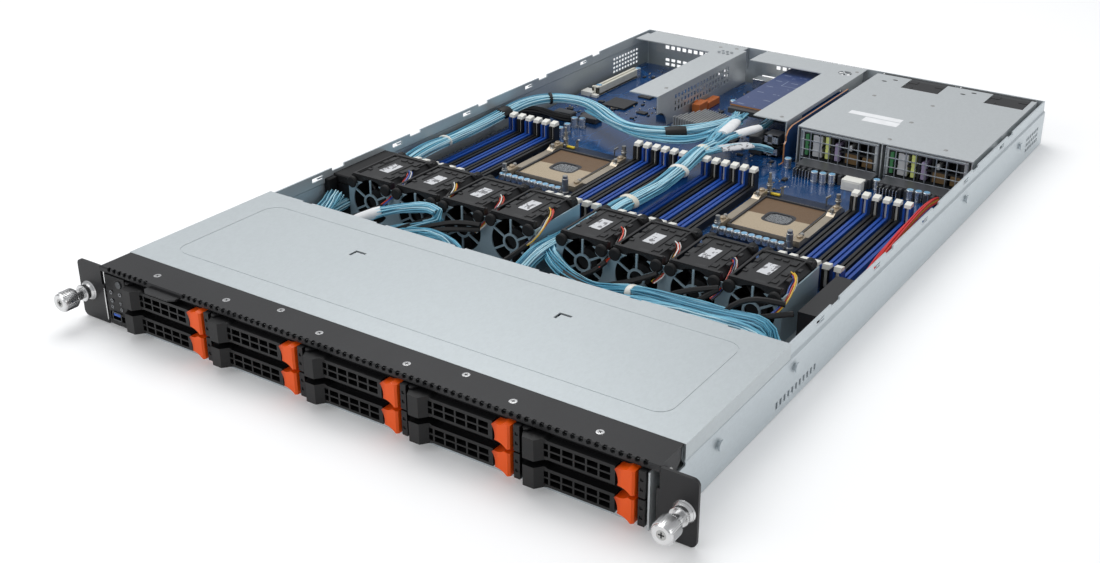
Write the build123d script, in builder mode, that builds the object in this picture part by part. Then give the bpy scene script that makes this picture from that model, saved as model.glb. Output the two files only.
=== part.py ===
from build123d import *
import math
import os

os.makedirs("parts", exist_ok=True)

# A one-unit rack server with ten front drive trays, seen with its rear top cover taken off.
# X runs to the right seen from the front, Y to the back, Z up. The origin is the middle of the
# pan's underside. All sizes are in millimetres.

# Whole machine
body_width = 438.0
body_depth = 730.0
body_height = 43.5
ear_reach = 22.3
sheet = 1.2
thin_sheet = 1.0
fit_gap = 0.3
shaft_clearance = 0.05
seat_gap = 0.1

half_width = body_width / 2
ear_span = body_width + 2 * ear_reach
front_y = -body_depth / 2
rear_y = body_depth / 2

# Pan and its walls
pan_setback = 3.0
pan_lip = 3.6
pan_lip_width = 403.0
pan_lip_mid_x = 9.3
band_height = 31.5
band_inset = 1.5
wall_top = body_height - thin_sheet - fit_gap
bezel_depth = 25.7
bezel_flange_z = 30.0
hook_pitch = 97.0
hook_first_y = -158.0
hook_count = 5
stud_r = 2.2
stud_head_r = 3.4
stud_stand = 1.5
stud_head = 1.1
stud_places = [(-300.0, 22.0), (-198.0, 23.5), (132.0, 23.0), (284.0, 22.2)]

# Front cover and ears
cover_front_y = front_y + bezel_depth + fit_gap
cover_depth = 133.0
ear_plate = 2.0
ear_flange_depth = 18.0
ear_corner_r = 4.0
thumb_x = ear_span / 2 - 8.3
thumb_z = 21.0
thumb_shank_r = 2.5
thumb_neck_r = 2.2
knob_r = 7.0
knob_front_y = front_y - 24.0
knob_length = 12.5
ferrule_r = 5.2
ferrule_length = 5.5
shank_reach = 12.0

# Drive trays
tray_columns = 5
tray_rows = 2
column_pitch = 80.85
row_pitch = 17.9
tray_x = -192.4
tray_z = 4.2
tray_width = 80.0
tray_height = 16.7
tray_face_y = front_y - 3.0
tray_back_plate_y = front_y + 3.0
tray_back_plate = 2.5
tray_length = 108.0
rail = 2.0
rail_height = 14.0
lever_pin_x = 2.6
lever_pin_y = front_y - 0.4
lever_pin_r = 0.9
lever_barrel_r = 2.0
lever_length = 61.4
lever_bulk_y = front_y - 8.0
lever_ear = 1.2
catch_x = 62.0
catch_width = 12.0
catch_front_y = front_y - 4.8
lamp_column = 4.1
drive_width = 69.85
drive_length = 100.45
drive_height = 9.5

# Drive cage
cage_front_y = tray_back_plate_y + tray_back_plate + fit_gap
cage_length = 110.0
divider = 1.2
shelf = 0.6
cage_top = 39.9
cheek_front_y = front_y - 1.0
cheek_length = 36.0
backplane_y = cage_front_y + cage_length + 3.0
board_sheet = 1.6

# Control panel
panel_right_x = tray_x - 1.4
panel_left_x = -214.0
panel_top = 39.4
panel_bottom = 2.3
panel_front_y = front_y - 1.0
panel_depth = 18.0
button_r = 2.6
button_x = -199.6
button_z = 34.3
button_travel = 0.8
button_proud = 0.9

# Fans
fan_size = 40.0
fan_depth = 56.0
fan_pitch = 45.5
fan_rows_x = [-176.0, 24.25]
fans_per_row = 4
fan_front_y = -140.5
fan_floor_z = 1.5
fan_duct_r = 18.6
fan_blade_r = 17.6
fan_hub_r = 8.6
fan_shaft_r = 1.5
fan_motor_depth = 8.0
fan_flange = 5.0
rotor_depth = 16.0
guard_plate = 1.0
guard_ring_r = 7.2
guard_ring_width = 1.8
guard_spoke = 1.6
guard_spokes = 6
wall_plate_height = 37.0
end_plate_depth = 60.0
dam_height = 30.0
mount_pin_r = 3.8

# System board
board_top = 9.0
board_thickness = 2.0
board_front_y = -72.0
board_mid_y = 165.0
board_rear_y = 350.0
board_right_x = 50.0
board_half = 213.0
slot_pitch = 9.0
slots_per_bank = 6
bank_first_x = [-195.0, -60.0, 8.0, 145.0]
slot_y = 9.0
slot_length = 131.0
slot_width = 6.4
slot_height = 6.6
slot_groove = 1.6
tower_offset = 69.5
tower_length = 8.0
tower_height = 18.0
tower_groove = 3.2
latch_stem = 2.4
latch_width = 5.4
latch_pivot_z = 13.5
latch_pivot_r = 1.7
latch_top = 31.0
latch_block = 3.6
socket_centres = [(-105.0, 30.0), (99.0, 33.0)]
socket_frame_width = 74.0
socket_frame_length = 104.0
socket_width = 58.0
socket_length = 70.0
post_r = 2.0
post_height = 15.0

# Riser card and the expansion card in it
riser_x = 43.6
riser_slot_y = 225.0
riser_slot_run = 60.0
riser_slot_floor = 12.5
card_edge_x = 29.0

# Rear brackets and power supplies
bay_left_x = 53.0
bay_right_x = 212.4
bay_front_y = 165.0
bay_rear_y = 355.0
bay_top = 43.0
supply_width = 73.5
supply_height = 39.6
supply_floor_z = 1.6
supply_left_x = [56.0, 135.5]
supply_front_y = 166.0
supply_rear_y = rear_y + 1.0


def front_plane(y):
    """Plane across the machine at depth y: local x is X, local y is Z, its normal faces the front."""
    return Plane.XZ.offset(-y)


def side_plane(x):
    """Plane along the machine at x: local x is Y, local y is Z, its normal faces the right."""
    return Plane.YZ.offset(x)


# Chassis pan: folded floor and walls, the upper band of each wall set in for the covers
hook_places = [hook_first_y + hook_pitch * i for i in range(hook_count)]
with BuildPart() as chassis_base:
    with BuildSketch(front_plane(rear_y)) as pan_profile:
        with BuildLine():
            Polyline(
                (0, 0),
                (half_width, 0),
                (half_width, band_height),
                (half_width - band_inset, band_height + band_inset),
                (half_width - band_inset, wall_top),
                (half_width - band_inset - sheet, wall_top),
                (half_width - band_inset - sheet, band_height + band_inset - sheet / 2),
                (half_width - sheet, band_height - sheet / 2),
                (half_width - sheet, sheet),
                (0, sheet),
                close=True,
            )
        make_face()
        mirror(about=Plane.YZ)
    extrude(amount=body_depth - pan_setback)
    # Front lip under the trays
    with BuildSketch(front_plane(front_y + pan_setback)):
        with Locations((pan_lip_mid_x, pan_lip / 2)):
            Rectangle(pan_lip_width, pan_lip)
    extrude(amount=-sheet)
    # The walls stop low at the front, under the bezel's side flanges
    with BuildSketch(side_plane(-half_width)):
        with Locations((front_y + bezel_depth / 2, body_height)):
            Rectangle(bezel_depth + 1.0, 2 * (body_height - bezel_flange_z + fit_gap))
    extrude(amount=body_width, mode=Mode.SUBTRACT)
    # Rear panel with supply bays, expansion windows and the port window
    with BuildSketch(front_plane(rear_y)):
        with Locations((0, wall_top / 2)):
            Rectangle(2 * (half_width - band_inset), wall_top)
    extrude(amount=sheet)
    with BuildSketch(front_plane(rear_y)):
        for left_x in supply_left_x:
            with Locations((left_x + supply_width / 2, supply_floor_z + supply_height / 2)):
                Rectangle(supply_width + 2 * fit_gap + 0.4, supply_height + 2 * fit_gap)
        with Locations((-151, 29.5), (-17, 29.5)):
            Rectangle(104, 17)
        with Locations((-20, 9.5)):
            Rectangle(116, 12)
        with Locations((-150, 9.5)):
            with GridLocations(7.2, 5.0, 13, 2):
                Rectangle(5.0, 3.2)
    extrude(amount=sheet, mode=Mode.SUBTRACT)
    # Hook slots for the top cover along both walls, and the open notch beside each
    with BuildSketch(side_plane(-half_width)):
        for hook_y in hook_places:
            with Locations((hook_y, 38.0)):
                Rectangle(12.0, 3.4)
            with Locations((hook_y + 3.0, 38.0)):
                Rectangle(6.0, 1.0, mode=Mode.SUBTRACT)
            with Locations((hook_y + 24.0, wall_top)):
                Rectangle(14.0, 5.0)
        with Locations((-193.5, 7.5)):
            with GridLocations(5.7, 1, 11, 1):
                Rectangle(3.0, 5.0)
    extrude(amount=body_width, mode=Mode.SUBTRACT)
    # Vents near the back: a wide field in the left wall, a small one in the right wall
    with BuildSketch(side_plane(-half_width)):
        with Locations((316.0, 18.7)):
            with GridLocations(5.8, 4.6, 9, 4):
                Rectangle(3.8, 2.6)
    extrude(amount=2 * sheet, mode=Mode.SUBTRACT)
    with BuildSketch(side_plane(half_width)):
        with Locations((327.5, 15.2)):
            with GridLocations(5.8, 5.4, 7, 3):
                Rectangle(3.4, 3.4)
    extrude(amount=-2 * sheet, mode=Mode.SUBTRACT)
    # Rail studs on both walls
    for side in (-1, 1):
        with BuildSketch(side_plane(side * half_width)):
            with Locations(*stud_places):
                Circle(stud_r)
        extrude(amount=side * stud_stand)
        with BuildSketch(side_plane(side * (half_width + stud_stand))):
            with Locations(*stud_places):
                Circle(stud_head_r)
        extrude(amount=side * stud_head)
    # Six-sided standoffs for the system board
    with BuildSketch(Plane.XY.offset(sheet)):
        with Locations((-135, 45)):
            with GridLocations(140, 190, 2, 2):
                RegularPolygon(2.8, 6)
        with Locations((140, 45)):
            with GridLocations(130, 190, 2, 2):
                RegularPolygon(2.8, 6)
        with Locations((-200, 330), (20, 330)):
            RegularPolygon(2.8, 6)
    extrude(amount=board_top - board_thickness - sheet)
chassis_base.part.label = "chassis_base"
export_step(chassis_base.part, "parts/chassis_base.step")

# Front cover: one folded sheet with a sunk line near its edges and two hook slots
with BuildPart() as front_cover:
    with BuildSketch(front_plane(cover_front_y + cover_depth)):
        with BuildLine():
            Polyline(
                (0, body_height),
                (half_width, body_height),
                (half_width, band_height + band_inset - 0.2),
                (half_width - thin_sheet, band_height + band_inset - 0.2),
                (half_width - thin_sheet, body_height - thin_sheet),
                (0, body_height - thin_sheet),
                close=True,
            )
        make_face()
        mirror(about=Plane.YZ)
    extrude(amount=cover_depth)
    cover_mid_y = cover_front_y + cover_depth / 2
    with BuildSketch(Plane.XY.offset(body_height)):
        with Locations((0, cover_mid_y)):
            RectangleRounded(body_width - 44, cover_depth - 36, 12)
            RectangleRounded(body_width - 46.4, cover_depth - 38.4, 10.8, mode=Mode.SUBTRACT)
    extrude(amount=-0.25, mode=Mode.SUBTRACT)
    with BuildSketch(Plane.XY.offset(body_height)):
        with Locations((-87, -252), (83, -251)):
            Rectangle(9, 2.2)
        with Locations((-91, -255), (79, -254)):
            Rectangle(2.2, 8)
        with Locations((0, cover_front_y + cover_depth)):
            with GridLocations(72, 1, 6, 1):
                Rectangle(9, 3)
    extrude(amount=-thin_sheet, mode=Mode.SUBTRACT)
front_cover.part.label = "front_cover"
export_step(front_cover.part, "parts/front_cover.step")

# Front bezel: black folded strip with a row of perforations on its bend, and the two rack ears
bezel_half = half_width - sheet
tongue_x = -155.5
tongue_width = 29.0
perforation_pitch = 5.1
perforations = [
    step * perforation_pitch
    for step in range(-41, 42)
    if abs(step * perforation_pitch - tongue_x) > tongue_width / 2 + 1.5
]
with BuildPart() as front_bezel:
    with BuildSketch(side_plane(-bezel_half)):
        with BuildLine():
            Polyline(
                (front_y + bezel_depth, body_height),
                (front_y + 0.8, body_height),
                (front_y, body_height - 0.8),
                (front_y, 39.8),
                (front_y + sheet, 39.8),
                (front_y + sheet, body_height - sheet),
                (front_y + bezel_depth, body_height - sheet),
                close=True,
            )
        make_face()
    extrude(amount=2 * bezel_half)
    with BuildSketch(front_plane(front_y)):
        with Locations(*[(hole_x, body_height - 0.9) for hole_x in perforations]):
            RegularPolygon(1.7, 6, major_radius=True)
    extrude(amount=-2.0, mode=Mode.SUBTRACT)
    # Side flanges behind the ears
    for side in (-1, 1):
        with BuildSketch(side_plane(side * bezel_half)):
            with BuildLine():
                Polyline(
                    (front_y + ear_plate + fit_gap, body_height - 0.4),
                    (front_y + bezel_depth - 3.0, body_height - 0.4),
                    (front_y + bezel_depth - 3.0, bezel_flange_z + 5.0),
                    (front_y + bezel_depth - 8.0, bezel_flange_z),
                    (front_y + ear_plate + fit_gap, bezel_flange_z),
                    close=True,
                )
            make_face()
        extrude(amount=-side * sheet)
    # Tag tongue bent out of the strip
    with BuildSketch(Plane.XY.offset(39.9)):
        with BuildLine():
            Polyline(
                (tongue_x - tongue_width / 2, front_y + sheet),
                (tongue_x - tongue_width / 2, front_y - 4.0),
                (tongue_x - tongue_width / 2 + 4.0, front_y - 7.0),
                (tongue_x + tongue_width / 2 - 4.0, front_y - 7.0),
                (tongue_x + tongue_width / 2, front_y - 4.0),
                (tongue_x + tongue_width / 2, front_y + sheet),
                close=True,
            )
        make_face()
    extrude(amount=thin_sheet)
    # Ears: face plate, inner flange along the wall, and the ferrule that holds the thumbscrew
    for side in (-1, 1):
        with BuildSketch(front_plane(front_y)) as ear_face:
            with BuildLine():
                Polyline(
                    (side * (bezel_half - sheet - 0.4), 0.4),
                    (side * ear_span / 2, 0.4),
                    (side * ear_span / 2, body_height - 0.4),
                    (side * (half_width - 0.9), body_height - 0.4),
                    (side * (half_width - 0.9), bezel_flange_z - fit_gap),
                    (side * (bezel_half - sheet - 0.4), bezel_flange_z - fit_gap),
                    close=True,
                )
            make_face()
            outer_corners = ear_face.vertices().sort_by(Axis.X)[-2:]
            if side < 0:
                outer_corners = ear_face.vertices().sort_by(Axis.X)[:2]
            fillet(outer_corners, radius=ear_corner_r)
        extrude(amount=-ear_plate)
        with BuildSketch(side_plane(side * (bezel_half - fit_gap))):
            with BuildLine():
                Polyline(
                    (front_y, 4.0),
                    (front_y + ear_flange_depth, 4.0),
                    (front_y + ear_flange_depth, bezel_flange_z - 4.0),
                    (front_y, bezel_flange_z - fit_gap),
                    close=True,
                )
            make_face()
        extrude(amount=-side * sheet)
        with BuildSketch(front_plane(front_y)):
            with Locations((side * thumb_x, thumb_z)):
                Circle(ferrule_r + 1.4)
        extrude(amount=1.2)
        with BuildSketch(front_plane(front_y)):
            with Locations((side * thumb_x, thumb_z)):
                Circle(ferrule_r)
        extrude(amount=ferrule_length)
        with BuildSketch(front_plane(front_y + ear_plate)):
            with Locations((side * thumb_x, thumb_z)):
                Circle(thumb_neck_r + shaft_clearance)
        extrude(amount=ferrule_length + ear_plate, mode=Mode.SUBTRACT)
front_bezel.part.label = "front_bezel"
export_step(front_bezel.part, "parts/front_bezel.step")

# Thumbscrews: knurled knob with a cross recess, neck and threaded end turned as one piece
for side, side_name in ((-1, "left"), (1, "right")):
    knob_back_y = knob_front_y + knob_length
    with BuildPart() as thumbscrew:
        with BuildSketch(front_plane(knob_back_y)):
            with Locations((side * thumb_x, thumb_z)):
                RegularPolygon(knob_r, 24)
        extrude(amount=knob_length)
        chamfer(thumbscrew.faces().sort_by(Axis.Y)[0].edges(), length=0.8)
        with BuildSketch(front_plane(front_y - ferrule_length - fit_gap)):
            with Locations((side * thumb_x, thumb_z)):
                Circle(knob_r - 3.0)
        extrude(until=Until.NEXT)
        with BuildSketch(front_plane(front_y + shank_reach)):
            with Locations((side * thumb_x, thumb_z)):
                Circle(thumb_neck_r)
        extrude(until=Until.NEXT)
        # Threaded end, wider than the hole, so that the screw stays in the ear
        with BuildSketch(front_plane(front_y + shank_reach)):
            with Locations((side * thumb_x, thumb_z)):
                Circle(thumb_shank_r)
        extrude(amount=shank_reach - ear_plate - fit_gap)
        with BuildSketch(front_plane(knob_front_y)):
            with Locations((side * thumb_x, thumb_z)):
                Rectangle(5.0, 1.3)
                Rectangle(1.3, 5.0)
        extrude(amount=-2.0, mode=Mode.SUBTRACT)
    thumbscrew.part.label = f"thumbscrew_{side_name}"
    export_step(thumbscrew.part, f"parts/thumbscrew_{side_name}.step")

# Drive cage: dividers between the columns, floor, shelf between the rows and top, all sheet metal
divider_places = [tray_x - 0.425 + column_pitch * i for i in range(tray_columns + 1)]
cage_width = divider_places[-1] - divider_places[0]
cage_mid_x = (divider_places[-1] + divider_places[0]) / 2
upper_tray_z = tray_z + row_pitch
with BuildPart() as drive_cage:
    with BuildSketch(front_plane(cage_front_y + cage_length)):
        for divider_x in divider_places:
            with Locations((divider_x, (sheet + cage_top) / 2)):
                Rectangle(divider, cage_top - sheet)
        with Locations((cage_mid_x, tray_z - fit_gap - 0.4)):
            Rectangle(cage_width, 0.8)
        with Locations((cage_mid_x, upper_tray_z - fit_gap - shelf / 2)):
            Rectangle(cage_width, shelf)
        with Locations((cage_mid_x, cage_top - 0.4)):
            Rectangle(cage_width, 0.8)
    extrude(amount=cage_length)
    # Bright edges beside the outer trays
    with BuildSketch(front_plane(cheek_front_y + cheek_length)):
        with Locations((divider_places[-1] + 0.8, (sheet + 38.0) / 2)):
            Rectangle(divider, 38.0 - sheet)
    extrude(amount=cheek_length)
    with BuildSketch(front_plane(cheek_front_y + cheek_length)):
        with Locations((215.3, 14.2), (-215.3, 14.2)):
            Rectangle(0.8, 26.0)
        with Locations((214.0, 1.6)):
            Rectangle(3.6, 0.8)
    extrude(amount=cheek_length - 8.0)
    with BuildSketch(front_plane(cheek_front_y + cheek_length)):
        with Locations((-204.2, 1.6)):
            Rectangle(23.0, 0.8)
    extrude(amount=cheek_length - 25.0)
drive_cage.part.label = "drive_cage"
export_step(drive_cage.part, "parts/drive_cage.step")

# Tray frame: back plate, two rails, floor strip, lamp column, and the two ears with the lever's pin
pin_place = (tray_x + lever_pin_x, lever_pin_y)
with BuildPart() as tray_frame:
    with BuildSketch(front_plane(tray_back_plate_y)):
        with Locations((tray_x + tray_width / 2, tray_z + tray_height / 2)):
            Rectangle(tray_width, tray_height)
        with Locations((tray_x + 36.5, tray_z + tray_height / 2)):
            Rectangle(43.0, 10.5, mode=Mode.SUBTRACT)
    extrude(amount=-tray_back_plate)
    # The plate reaches forward round the lamps at the right end
    with BuildSketch(front_plane(tray_back_plate_y)):
        with Locations((tray_x + tray_width - lamp_column / 2, tray_z + tray_height / 2)):
            Rectangle(lamp_column, tray_height)
    extrude(amount=tray_back_plate_y - tray_face_y)
    with BuildSketch(front_plane(tray_face_y)):
        with Locations((tray_x + tray_width - lamp_column / 2, tray_z + tray_height / 2)):
            with GridLocations(1, 6.0, 1, 2):
                Rectangle(2.0, 2.0)
    extrude(amount=-0.6, mode=Mode.SUBTRACT)
    with BuildSketch(front_plane(tray_back_plate_y + tray_length)):
        with Locations(
            (tray_x + 0.5 + rail / 2, tray_z + rail_height / 2),
            (tray_x + tray_width - 0.5 - rail / 2, tray_z + rail_height / 2),
        ):
            Rectangle(rail, rail_height)
        with Locations((tray_x + tray_width / 2, tray_z + 0.8)):
            Rectangle(tray_width - 1.0, 1.6)
    extrude(amount=tray_length - tray_back_plate)
    # Open floor under the drive
    with BuildSketch(Plane.XY.offset(tray_z)):
        with Locations((tray_x + tray_width / 2, tray_back_plate_y + tray_length / 2 + 2)):
            with GridLocations(36, 1, 2, 1):
                Rectangle(28, 70)
    extrude(amount=2.0, mode=Mode.SUBTRACT)
    # Ears above and below the lever's barrel
    for ear_z in (tray_z, tray_z + tray_height - lever_ear):
        with BuildSketch(Plane.XY.offset(ear_z)):
            with BuildLine():
                Polyline(
                    (tray_x + 0.3, tray_back_plate_y),
                    (tray_x + 0.3, lever_pin_y - 1.0),
                    (tray_x + 1.6, lever_pin_y - 2.2),
                    (tray_x + 4.2, lever_pin_y - 1.8),
                    (tray_x + 6.4, tray_back_plate_y),
                    close=True,
                )
            make_face()
        extrude(amount=lever_ear)
    with BuildSketch(Plane.XY.offset(tray_z)):
        with Locations(pin_place):
            Circle(lever_pin_r)
    extrude(amount=tray_height)
with BuildPart() as tray_drive:
    with BuildSketch(Plane.XY.offset(tray_z + 1.6)):
        with Locations((tray_x + tray_width / 2, tray_back_plate_y + tray_back_plate + drive_length / 2)):
            Rectangle(drive_width, drive_length)
            with GridLocations(drive_width, drive_length, 2, 2):
                Rectangle(3.0, 3.0, mode=Mode.SUBTRACT)
    extrude(amount=drive_height)

# Lever: thick hinge end, then a flat bar with two rows of grille openings and a plain end block
lever_z = tray_z + lever_ear + fit_gap
lever_height = tray_height - 2 * (lever_ear + fit_gap)
with BuildPart() as tray_lever:
    with BuildSketch(Plane.XY.offset(lever_z)):
        with BuildLine():
            Polyline(
                (tray_x + 0.75, lever_pin_y - 0.6),
                (tray_x + 4.5, lever_bulk_y),
                (tray_x + 12.0, lever_bulk_y),
                (tray_x + 16.0, tray_face_y),
                (tray_x + lever_length, tray_face_y),
                (tray_x + lever_length, tray_back_plate_y - 0.6),
                (tray_x + 4.8, tray_back_plate_y - 0.6),
                close=True,
            )
        make_face()
        with Locations(pin_place):
            Circle(lever_barrel_r)
            Circle(lever_pin_r + shaft_clearance, mode=Mode.SUBTRACT)
    extrude(amount=lever_height)
    # Shoulders: the bar is lower than the hinge end above and below
    with BuildSketch(front_plane(lever_bulk_y)):
        with BuildLine():
            Polyline(
                (tray_x + 12.0, tray_z + tray_height),
                (tray_x + 18.0, tray_z + tray_height - 2.6),
                (tray_x + lever_length, tray_z + tray_height - 2.6),
                (tray_x + lever_length, tray_z + tray_height),
                close=True,
            )
        make_face()
        with BuildLine():
            Polyline(
                (tray_x + 12.0, tray_z),
                (tray_x + 18.0, tray_z + 2.0),
                (tray_x + lever_length, tray_z + 2.0),
                (tray_x + lever_length, tray_z),
                close=True,
            )
        make_face()
    extrude(amount=-12.0, mode=Mode.SUBTRACT)
    with BuildSketch(front_plane(lever_bulk_y)):
        with Locations((tray_x + 39.0, tray_z + 7.9)):
            with GridLocations(8.0, 4.7, 5, 2):
                Rectangle(6.8, 3.6)
        with Locations((tray_x + 17.0, tray_z + 7.9)):
            with GridLocations(1, 4.7, 1, 2):
                Rectangle(2.6, 3.6)
    extrude(amount=-12.0, mode=Mode.SUBTRACT)

# Catch: the coloured hook that holds the lever shut, with two horns and a pointed foot
with BuildPart() as tray_catch:
    with BuildSketch(front_plane(tray_back_plate_y - fit_gap)):
        with BuildLine():
            Polyline(
                (tray_x + catch_x, tray_z + 13.4),
                (tray_x + catch_x + 1.4, tray_z + 14.6),
            )
            ThreePointArc(
                (tray_x + catch_x + 1.4, tray_z + 14.6),
                (tray_x + catch_x + 5.0, tray_z + 14.6),
                (tray_x + catch_x + 8.4, tray_z + 16.4),
            )
            Polyline(
                (tray_x + catch_x + 8.4, tray_z + 16.4),
                (tray_x + catch_x + catch_width, tray_z + 15.4),
                (tray_x + catch_x + catch_width, tray_z + 0.3),
                (tray_x + catch_x + 10.2, tray_z + 0.4),
            )
            ThreePointArc(
                (tray_x + catch_x + 10.2, tray_z + 0.4),
                (tray_x + catch_x + 6.4, tray_z + 2.9),
                (tray_x + catch_x + 2.0, tray_z + 3.8),
            )
            ThreePointArc(
                (tray_x + catch_x + 2.0, tray_z + 3.8),
                (tray_x + catch_x + 1.9, tray_z + 9.6),
                (tray_x + catch_x, tray_z + 13.4),
            )
        make_face()
    extrude(amount=tray_back_plate_y - fit_gap - catch_front_y)
    chamfer(tray_catch.edges().group_by(Axis.Y)[0].sort_by(Axis.X)[-1], length=1.2)

for column in range(tray_columns):
    for row in range(tray_rows):
        place = Location((column * column_pitch, 0, row * row_pitch))
        bay_name = f"c{column + 1}_{'lower' if row == 0 else 'upper'}"
        tray = Compound(children=[tray_frame.part.moved(place), tray_drive.part.moved(place)])
        tray.label = f"drive_tray_{bay_name}"
        export_step(tray, f"parts/{tray.label}.step")
        lever = tray_lever.part.moved(place)
        lever.label = f"tray_lever_{bay_name}"
        export_step(lever, f"parts/{lever.label}.step")
        catch = tray_catch.part.moved(place)
        catch.label = f"tray_catch_{bay_name}"
        export_step(catch, f"parts/{catch.label}.step")

# Control panel at the left end, with a data port and the well of the power button
panel_mid_x = (panel_left_x + panel_right_x) / 2
with BuildPart() as control_panel:
    with BuildSketch(front_plane(panel_front_y)):
        with Locations((panel_mid_x, (panel_top + panel_bottom) / 2)):
            Rectangle(panel_right_x - panel_left_x, panel_top - panel_bottom)
    extrude(amount=-panel_depth)
    fillet(control_panel.edges().filter_by(Axis.Z).group_by(Axis.Y)[0], radius=0.8)
    with BuildSketch(front_plane(panel_front_y)):
        with Locations((-205.0, 9.0)):
            Rectangle(14.0, 6.4)
    extrude(amount=-12.0, mode=Mode.SUBTRACT)
    with BuildSketch(front_plane(panel_front_y + 1.5)):
        with Locations((-205.0, 9.9)):
            Rectangle(12.2, 1.8)
    extrude(amount=-11.0)
    with BuildSketch(front_plane(panel_front_y)):
        with Locations((button_x, button_z)):
            Circle(button_r + fit_gap)
    extrude(amount=-6.0, mode=Mode.SUBTRACT)
    with BuildSketch(front_plane(panel_front_y)):
        with Locations((-208.2, 26.9), (-208.2, 20.6)):
            RegularPolygon(1.5, 8)
    extrude(amount=0.5)
control_panel.part.label = "control_panel"
export_step(control_panel.part, "parts/control_panel.step")

with BuildPart() as power_button:
    with BuildSketch(front_plane(panel_front_y - button_proud)):
        with Locations((button_x, button_z)):
            Circle(button_r)
    extrude(amount=-(6.0 + button_proud - button_travel - fit_gap))
    fillet(power_button.edges().group_by(Axis.Y)[0], radius=0.5)
power_button.part.label = "power_button"
export_step(power_button.part, "parts/power_button.step")

# Fans: each housing is a square tube with a round duct, a waist between its two end frames,
# and a motor mount on four struts in the middle
fan_axis_z = fan_floor_z + fan_size / 2
fan_mid_y = fan_front_y + fan_depth / 2
fan_places = []
for row_x in fan_rows_x:
    for step in range(fans_per_row):
        fan_places.append(row_x + step * fan_pitch)
with BuildPart() as fan_housings:
    for fan_x in fan_places:
        with BuildSketch(front_plane(fan_front_y + fan_depth)):
            with Locations((fan_x, fan_axis_z)):
                Rectangle(fan_size, fan_size)
        extrude(amount=fan_depth)
    # Waist: the corners are cut back between the end frames
    with BuildSketch(front_plane(fan_front_y + fan_depth - fan_flange)):
        for fan_x in fan_places:
            with Locations((fan_x, fan_axis_z)):
                with GridLocations(fan_size, fan_size, 2, 2):
                    Rectangle(7.0, 7.0, rotation=45)
    extrude(amount=fan_depth - 2 * fan_flange, mode=Mode.SUBTRACT)
    with BuildSketch(front_plane(fan_front_y + fan_depth)):
        with Locations(*[(fan_x, fan_axis_z) for fan_x in fan_places]):
            Circle(fan_duct_r)
    extrude(amount=fan_depth, mode=Mode.SUBTRACT)
    with BuildSketch(front_plane(fan_mid_y + fan_motor_depth / 2)):
        for fan_x in fan_places:
            with Locations((fan_x, fan_axis_z)):
                RegularPolygon(fan_hub_r, 16)
                Rectangle(2 * fan_duct_r + 1.0, 2.2)
                Rectangle(2.2, 2 * fan_duct_r + 1.0)
                Circle(fan_shaft_r + shaft_clearance, mode=Mode.SUBTRACT)
    extrude(amount=fan_motor_depth)
fan_housings.part.label = "fan_housings"
export_step(fan_housings.part, "parts/fan_housings.step")

# Rotors: two bladed hubs on one shaft, with twisted blades that lean opposite ways
blade_count = 5
with BuildPart() as fan_rotor:
    for turn, hub_back_y in ((1, fan_mid_y - 6.0), (-1, fan_mid_y + 6.0 + rotor_depth)):
        with BuildSketch(front_plane(hub_back_y)):
            with Locations((0, fan_axis_z)):
                RegularPolygon(fan_hub_r, 15)
        extrude(amount=rotor_depth)
        for blade in range(blade_count):
            blade_turn = math.radians(blade * 360 / blade_count)
            blade_plane = Plane(
                origin=(0, hub_back_y - rotor_depth / 2, fan_axis_z),
                x_dir=(0, 1, 0),
                z_dir=(math.cos(blade_turn), 0, math.sin(blade_turn)),
            )
            with BuildSketch(blade_plane.offset(fan_hub_r - 0.8)):
                Rectangle(rotor_depth - 3.0, 1.4, rotation=turn * 35)
            with BuildSketch(blade_plane.offset(fan_blade_r)):
                Rectangle(rotor_depth - 2.0, 0.9, rotation=turn * 50)
            loft()
    with BuildSketch(front_plane(fan_mid_y + 8.0)):
        with Locations((0, fan_axis_z)):
            Circle(fan_shaft_r)
    extrude(amount=16.0)
for fan_number, fan_x in enumerate(fan_places, start=1):
    rotor = fan_rotor.part.moved(Location((fan_x, 0, 0)))
    rotor.label = f"fan_rotor_{fan_number}"
    export_step(rotor, f"parts/{rotor.label}.step")

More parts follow.
